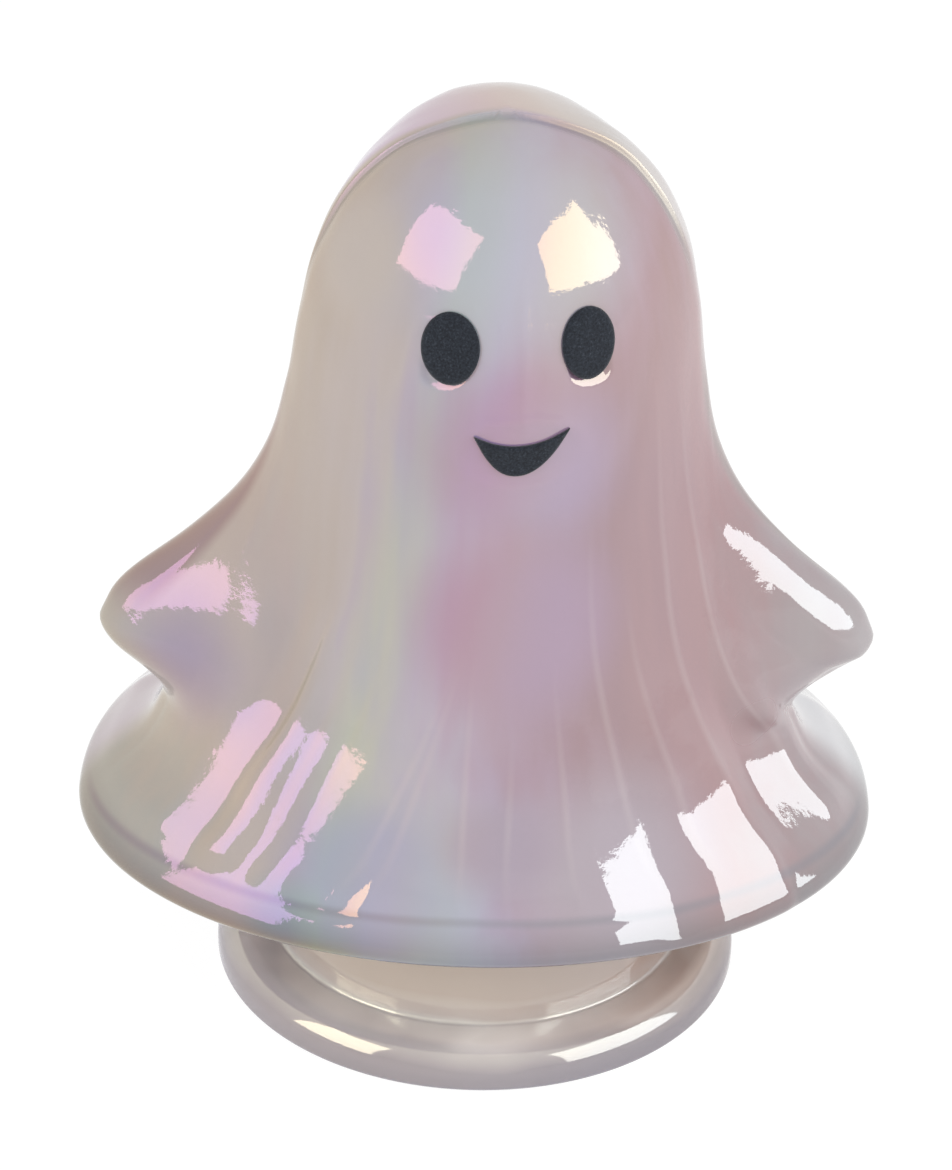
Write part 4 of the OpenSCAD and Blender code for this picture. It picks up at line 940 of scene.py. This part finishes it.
def black_flock():
    """Black nylon flock: a dark, light-trapping pile with paler fibre tips.

    Real fibres are under 0.1 mm apart; the grain is drawn at 0.45 mm so that it shows.
    """
    material, tree = new_material("black_nylon_flock")
    place = add_node(tree, "TexCoord").outputs["Object"]
    pile = add_node(tree, "TexNoise", {"Scale": 1 / (FLOCK_GRAIN_W * MM), "Detail": 3.0, "Roughness": 0.7},
                    {"Vector": place})
    shade = add_node(tree, "ValToRGB", links={"Fac": pile},
                     stops=((0.35, "#202228"), (0.8, "#515660"), (0.6, "#2f343c")))
    bump = add_node(tree, "Bump", {"Strength": 0.8, "Distance": FLOCK_RELIEF * MM}, {"Height": pile})
    shader = add_node(tree, "BsdfPrincipled",
                      {"Roughness": 0.95, "Sheen Weight": 0.2, "Specular IOR Level": 0.1},
                      {"Base Color": shade, "Normal": bump})
    return surfaced(material, shader)


flock = black_flock()
for node, spots in (("eye_left", lambda r, turn: eye_spots(EYES[0], r, turn)),
                    ("eye_right", lambda r, turn: eye_spots(EYES[1], r, turn)), ("mouth", mouth_spots)):
    pad = flock_pad(node + "_flock", spots, flock)
    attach(pad, "figure")
    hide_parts(node)


# Floor and backdrop
# A sweep of matt white paper that the object stands on, with a soft shadow under the foot.
# It is one flat sheet, and it can be seen through from below.
FLOOR_R = 3000.0
PAPER_GLOW, PAPER_GLOW_SHARE = 1.1, 0.85


def seen_light(tree):
    """One where the eye sees a thing, mirrored or through glass too, and nothing where it only lights."""
    path = add_node(tree, "LightPath").outputs
    seen = path["Is Camera Ray"]
    for way in ("Is Glossy Ray", "Is Transmission Ray"):
        seen = add_node(tree, "Math", links={0: seen, 1: path[way]}, operation="MAXIMUM")
    return seen


def white_sweep():
    """Matt white paper that also glows a little to the eye and in reflections, so that it reads as white."""
    material, tree = new_material("white_paper_sweep")
    share = add_node(tree, "Math", {1: PAPER_GLOW_SHARE}, {0: seen_light(tree)}, operation="MULTIPLY")
    paper = add_node(tree, "BsdfDiffuse", {"Color": linear("#f4f4f4")})
    glow = add_node(tree, "Emission", {"Strength": PAPER_GLOW})
    lit = add_node(tree, "MixShader", links={"Fac": share, 1: paper, 2: glow})
    side = add_node(tree, "NewGeometry").outputs["Backfacing"]
    clear = add_node(tree, "BsdfTransparent")
    sheet = add_node(tree, "MixShader", links={"Fac": side, 1: lit, 2: clear})
    return surfaced(material, sheet)


sweep_mesh = bpy.data.meshes.new("sweep")
corners = [(x * FLOOR_R * MM, y * FLOOR_R * MM, 0.0) for x, y in ((-1, -1), (1, -1), (1, 1), (-1, 1))]
sweep_mesh.from_pydata(corners, [], [(0, 1, 2, 3)])
sweep_mesh.materials.append(white_sweep())
sweep = bpy.data.objects.new("sweep", sweep_mesh)
bpy.context.scene.collection.objects.link(sweep)


# Studio light
# Two tall upright softboxes, one at each side in front, and a soft white room round them.
# The boxes draw the bright patches on the glass, and the room fills in the rest evenly.
SOFTBOX_AWAY = 0.9
LIT_POINT = np.array([0.0, 0.0, 0.1])
ROOM_LEVEL = 0.45


def direction(azimuth, elevation):
    """Unit vector from the object, with the azimuth from the front towards the viewer's right."""
    a, e = math.radians(azimuth), math.radians(elevation)
    return np.array([math.sin(a) * math.cos(e), -math.cos(a) * math.cos(e), math.sin(e)])


def turned_to(back, roll=0.0):
    """Rotation of a lamp or camera that looks against the unit vector back, rolled in degrees."""
    right = np.cross([0, 0, 1], back)
    right = right / np.linalg.norm(right)
    up = np.cross(back, right)
    c, q = math.cos(math.radians(roll)), math.sin(math.radians(roll))
    return np.array([right * c + up * q, up * c - right * q, back]).T


def place_at(thing, point, axes):
    """Puts a lamp or camera at a point in metres with the given axes."""
    matrix = np.eye(4)
    matrix[:3, :3] = axes
    matrix[:3, 3] = point
    thing.matrix_world = Matrix(matrix.tolist())


scene = bpy.context.scene
# Each softbox: radiance, bearings of its two upright edges, elevations of its lower and upper edge
for name, radiance, near, far, low, high in (("softbox_left", 3.4, -41.0, -78.0, 5.0, 48.0),
                                             ("softbox_right", 3.0, 39.0, 93.0, 3.0, 49.0)):
    lamp = bpy.data.lights.new(name, "AREA")
    lamp.shape = "RECTANGLE"
    bottom, top = (SOFTBOX_AWAY * math.tan(math.radians(edge)) for edge in (low, high))
    lamp.size = 2 * SOFTBOX_AWAY * math.tan(math.radians(abs(far - near) / 2))
    lamp.size_y = top - bottom
    lamp.energy = radiance * math.pi * lamp.size * lamp.size_y
    softbox = bpy.data.objects.new(name, lamp)
    softbox.visible_camera = False
    scene.collection.objects.link(softbox)
    toward = direction((near + far) / 2, 0.0)
    place_at(softbox, LIT_POINT + toward * SOFTBOX_AWAY + [0, 0, (bottom + top) / 2], turned_to(toward))

world = bpy.data.worlds.new("white_room")
world.use_nodes = True
room = world.node_tree
room.nodes.clear()
level = add_node(room, "MapRange", {"To Min": ROOM_LEVEL, "To Max": 1.0}, {"Value": seen_light(room)})
white = add_node(room, "Background", {"Color": linear("#ffffff")}, {"Strength": level})
add_node(room, "OutputWorld", links={"Surface": white})
scene.world = world
scene.view_settings.view_transform = "Standard"


# Camera
# A long lens from in front and above, placed by its distance, elevation and roll about a point.
# It stands where the round foot looks as wide and as high as it does in the photograph.
IMAGE_H = 1170
FOCAL_PX = 7882.0
CAMERA_AWAY, CAMERA_ELEVATION, CAMERA_ROLL = 1.6, 32.0, 1.6
CAMERA_AIM = np.array([-0.0018, 0.0, 0.0882])
lens = bpy.data.cameras.new("camera")
lens.sensor_fit = "AUTO"
lens.sensor_width = 36.0
lens.lens = lens.sensor_width * FOCAL_PX / IMAGE_H
lens.clip_start, lens.clip_end = 0.05, 50.0
camera = bpy.data.objects.new("camera", lens)
scene.collection.objects.link(camera)
back = direction(0.0, CAMERA_ELEVATION)
place_at(camera, CAMERA_AIM + back * CAMERA_AWAY, turned_to(back, CAMERA_ROLL))
scene.camera = camera
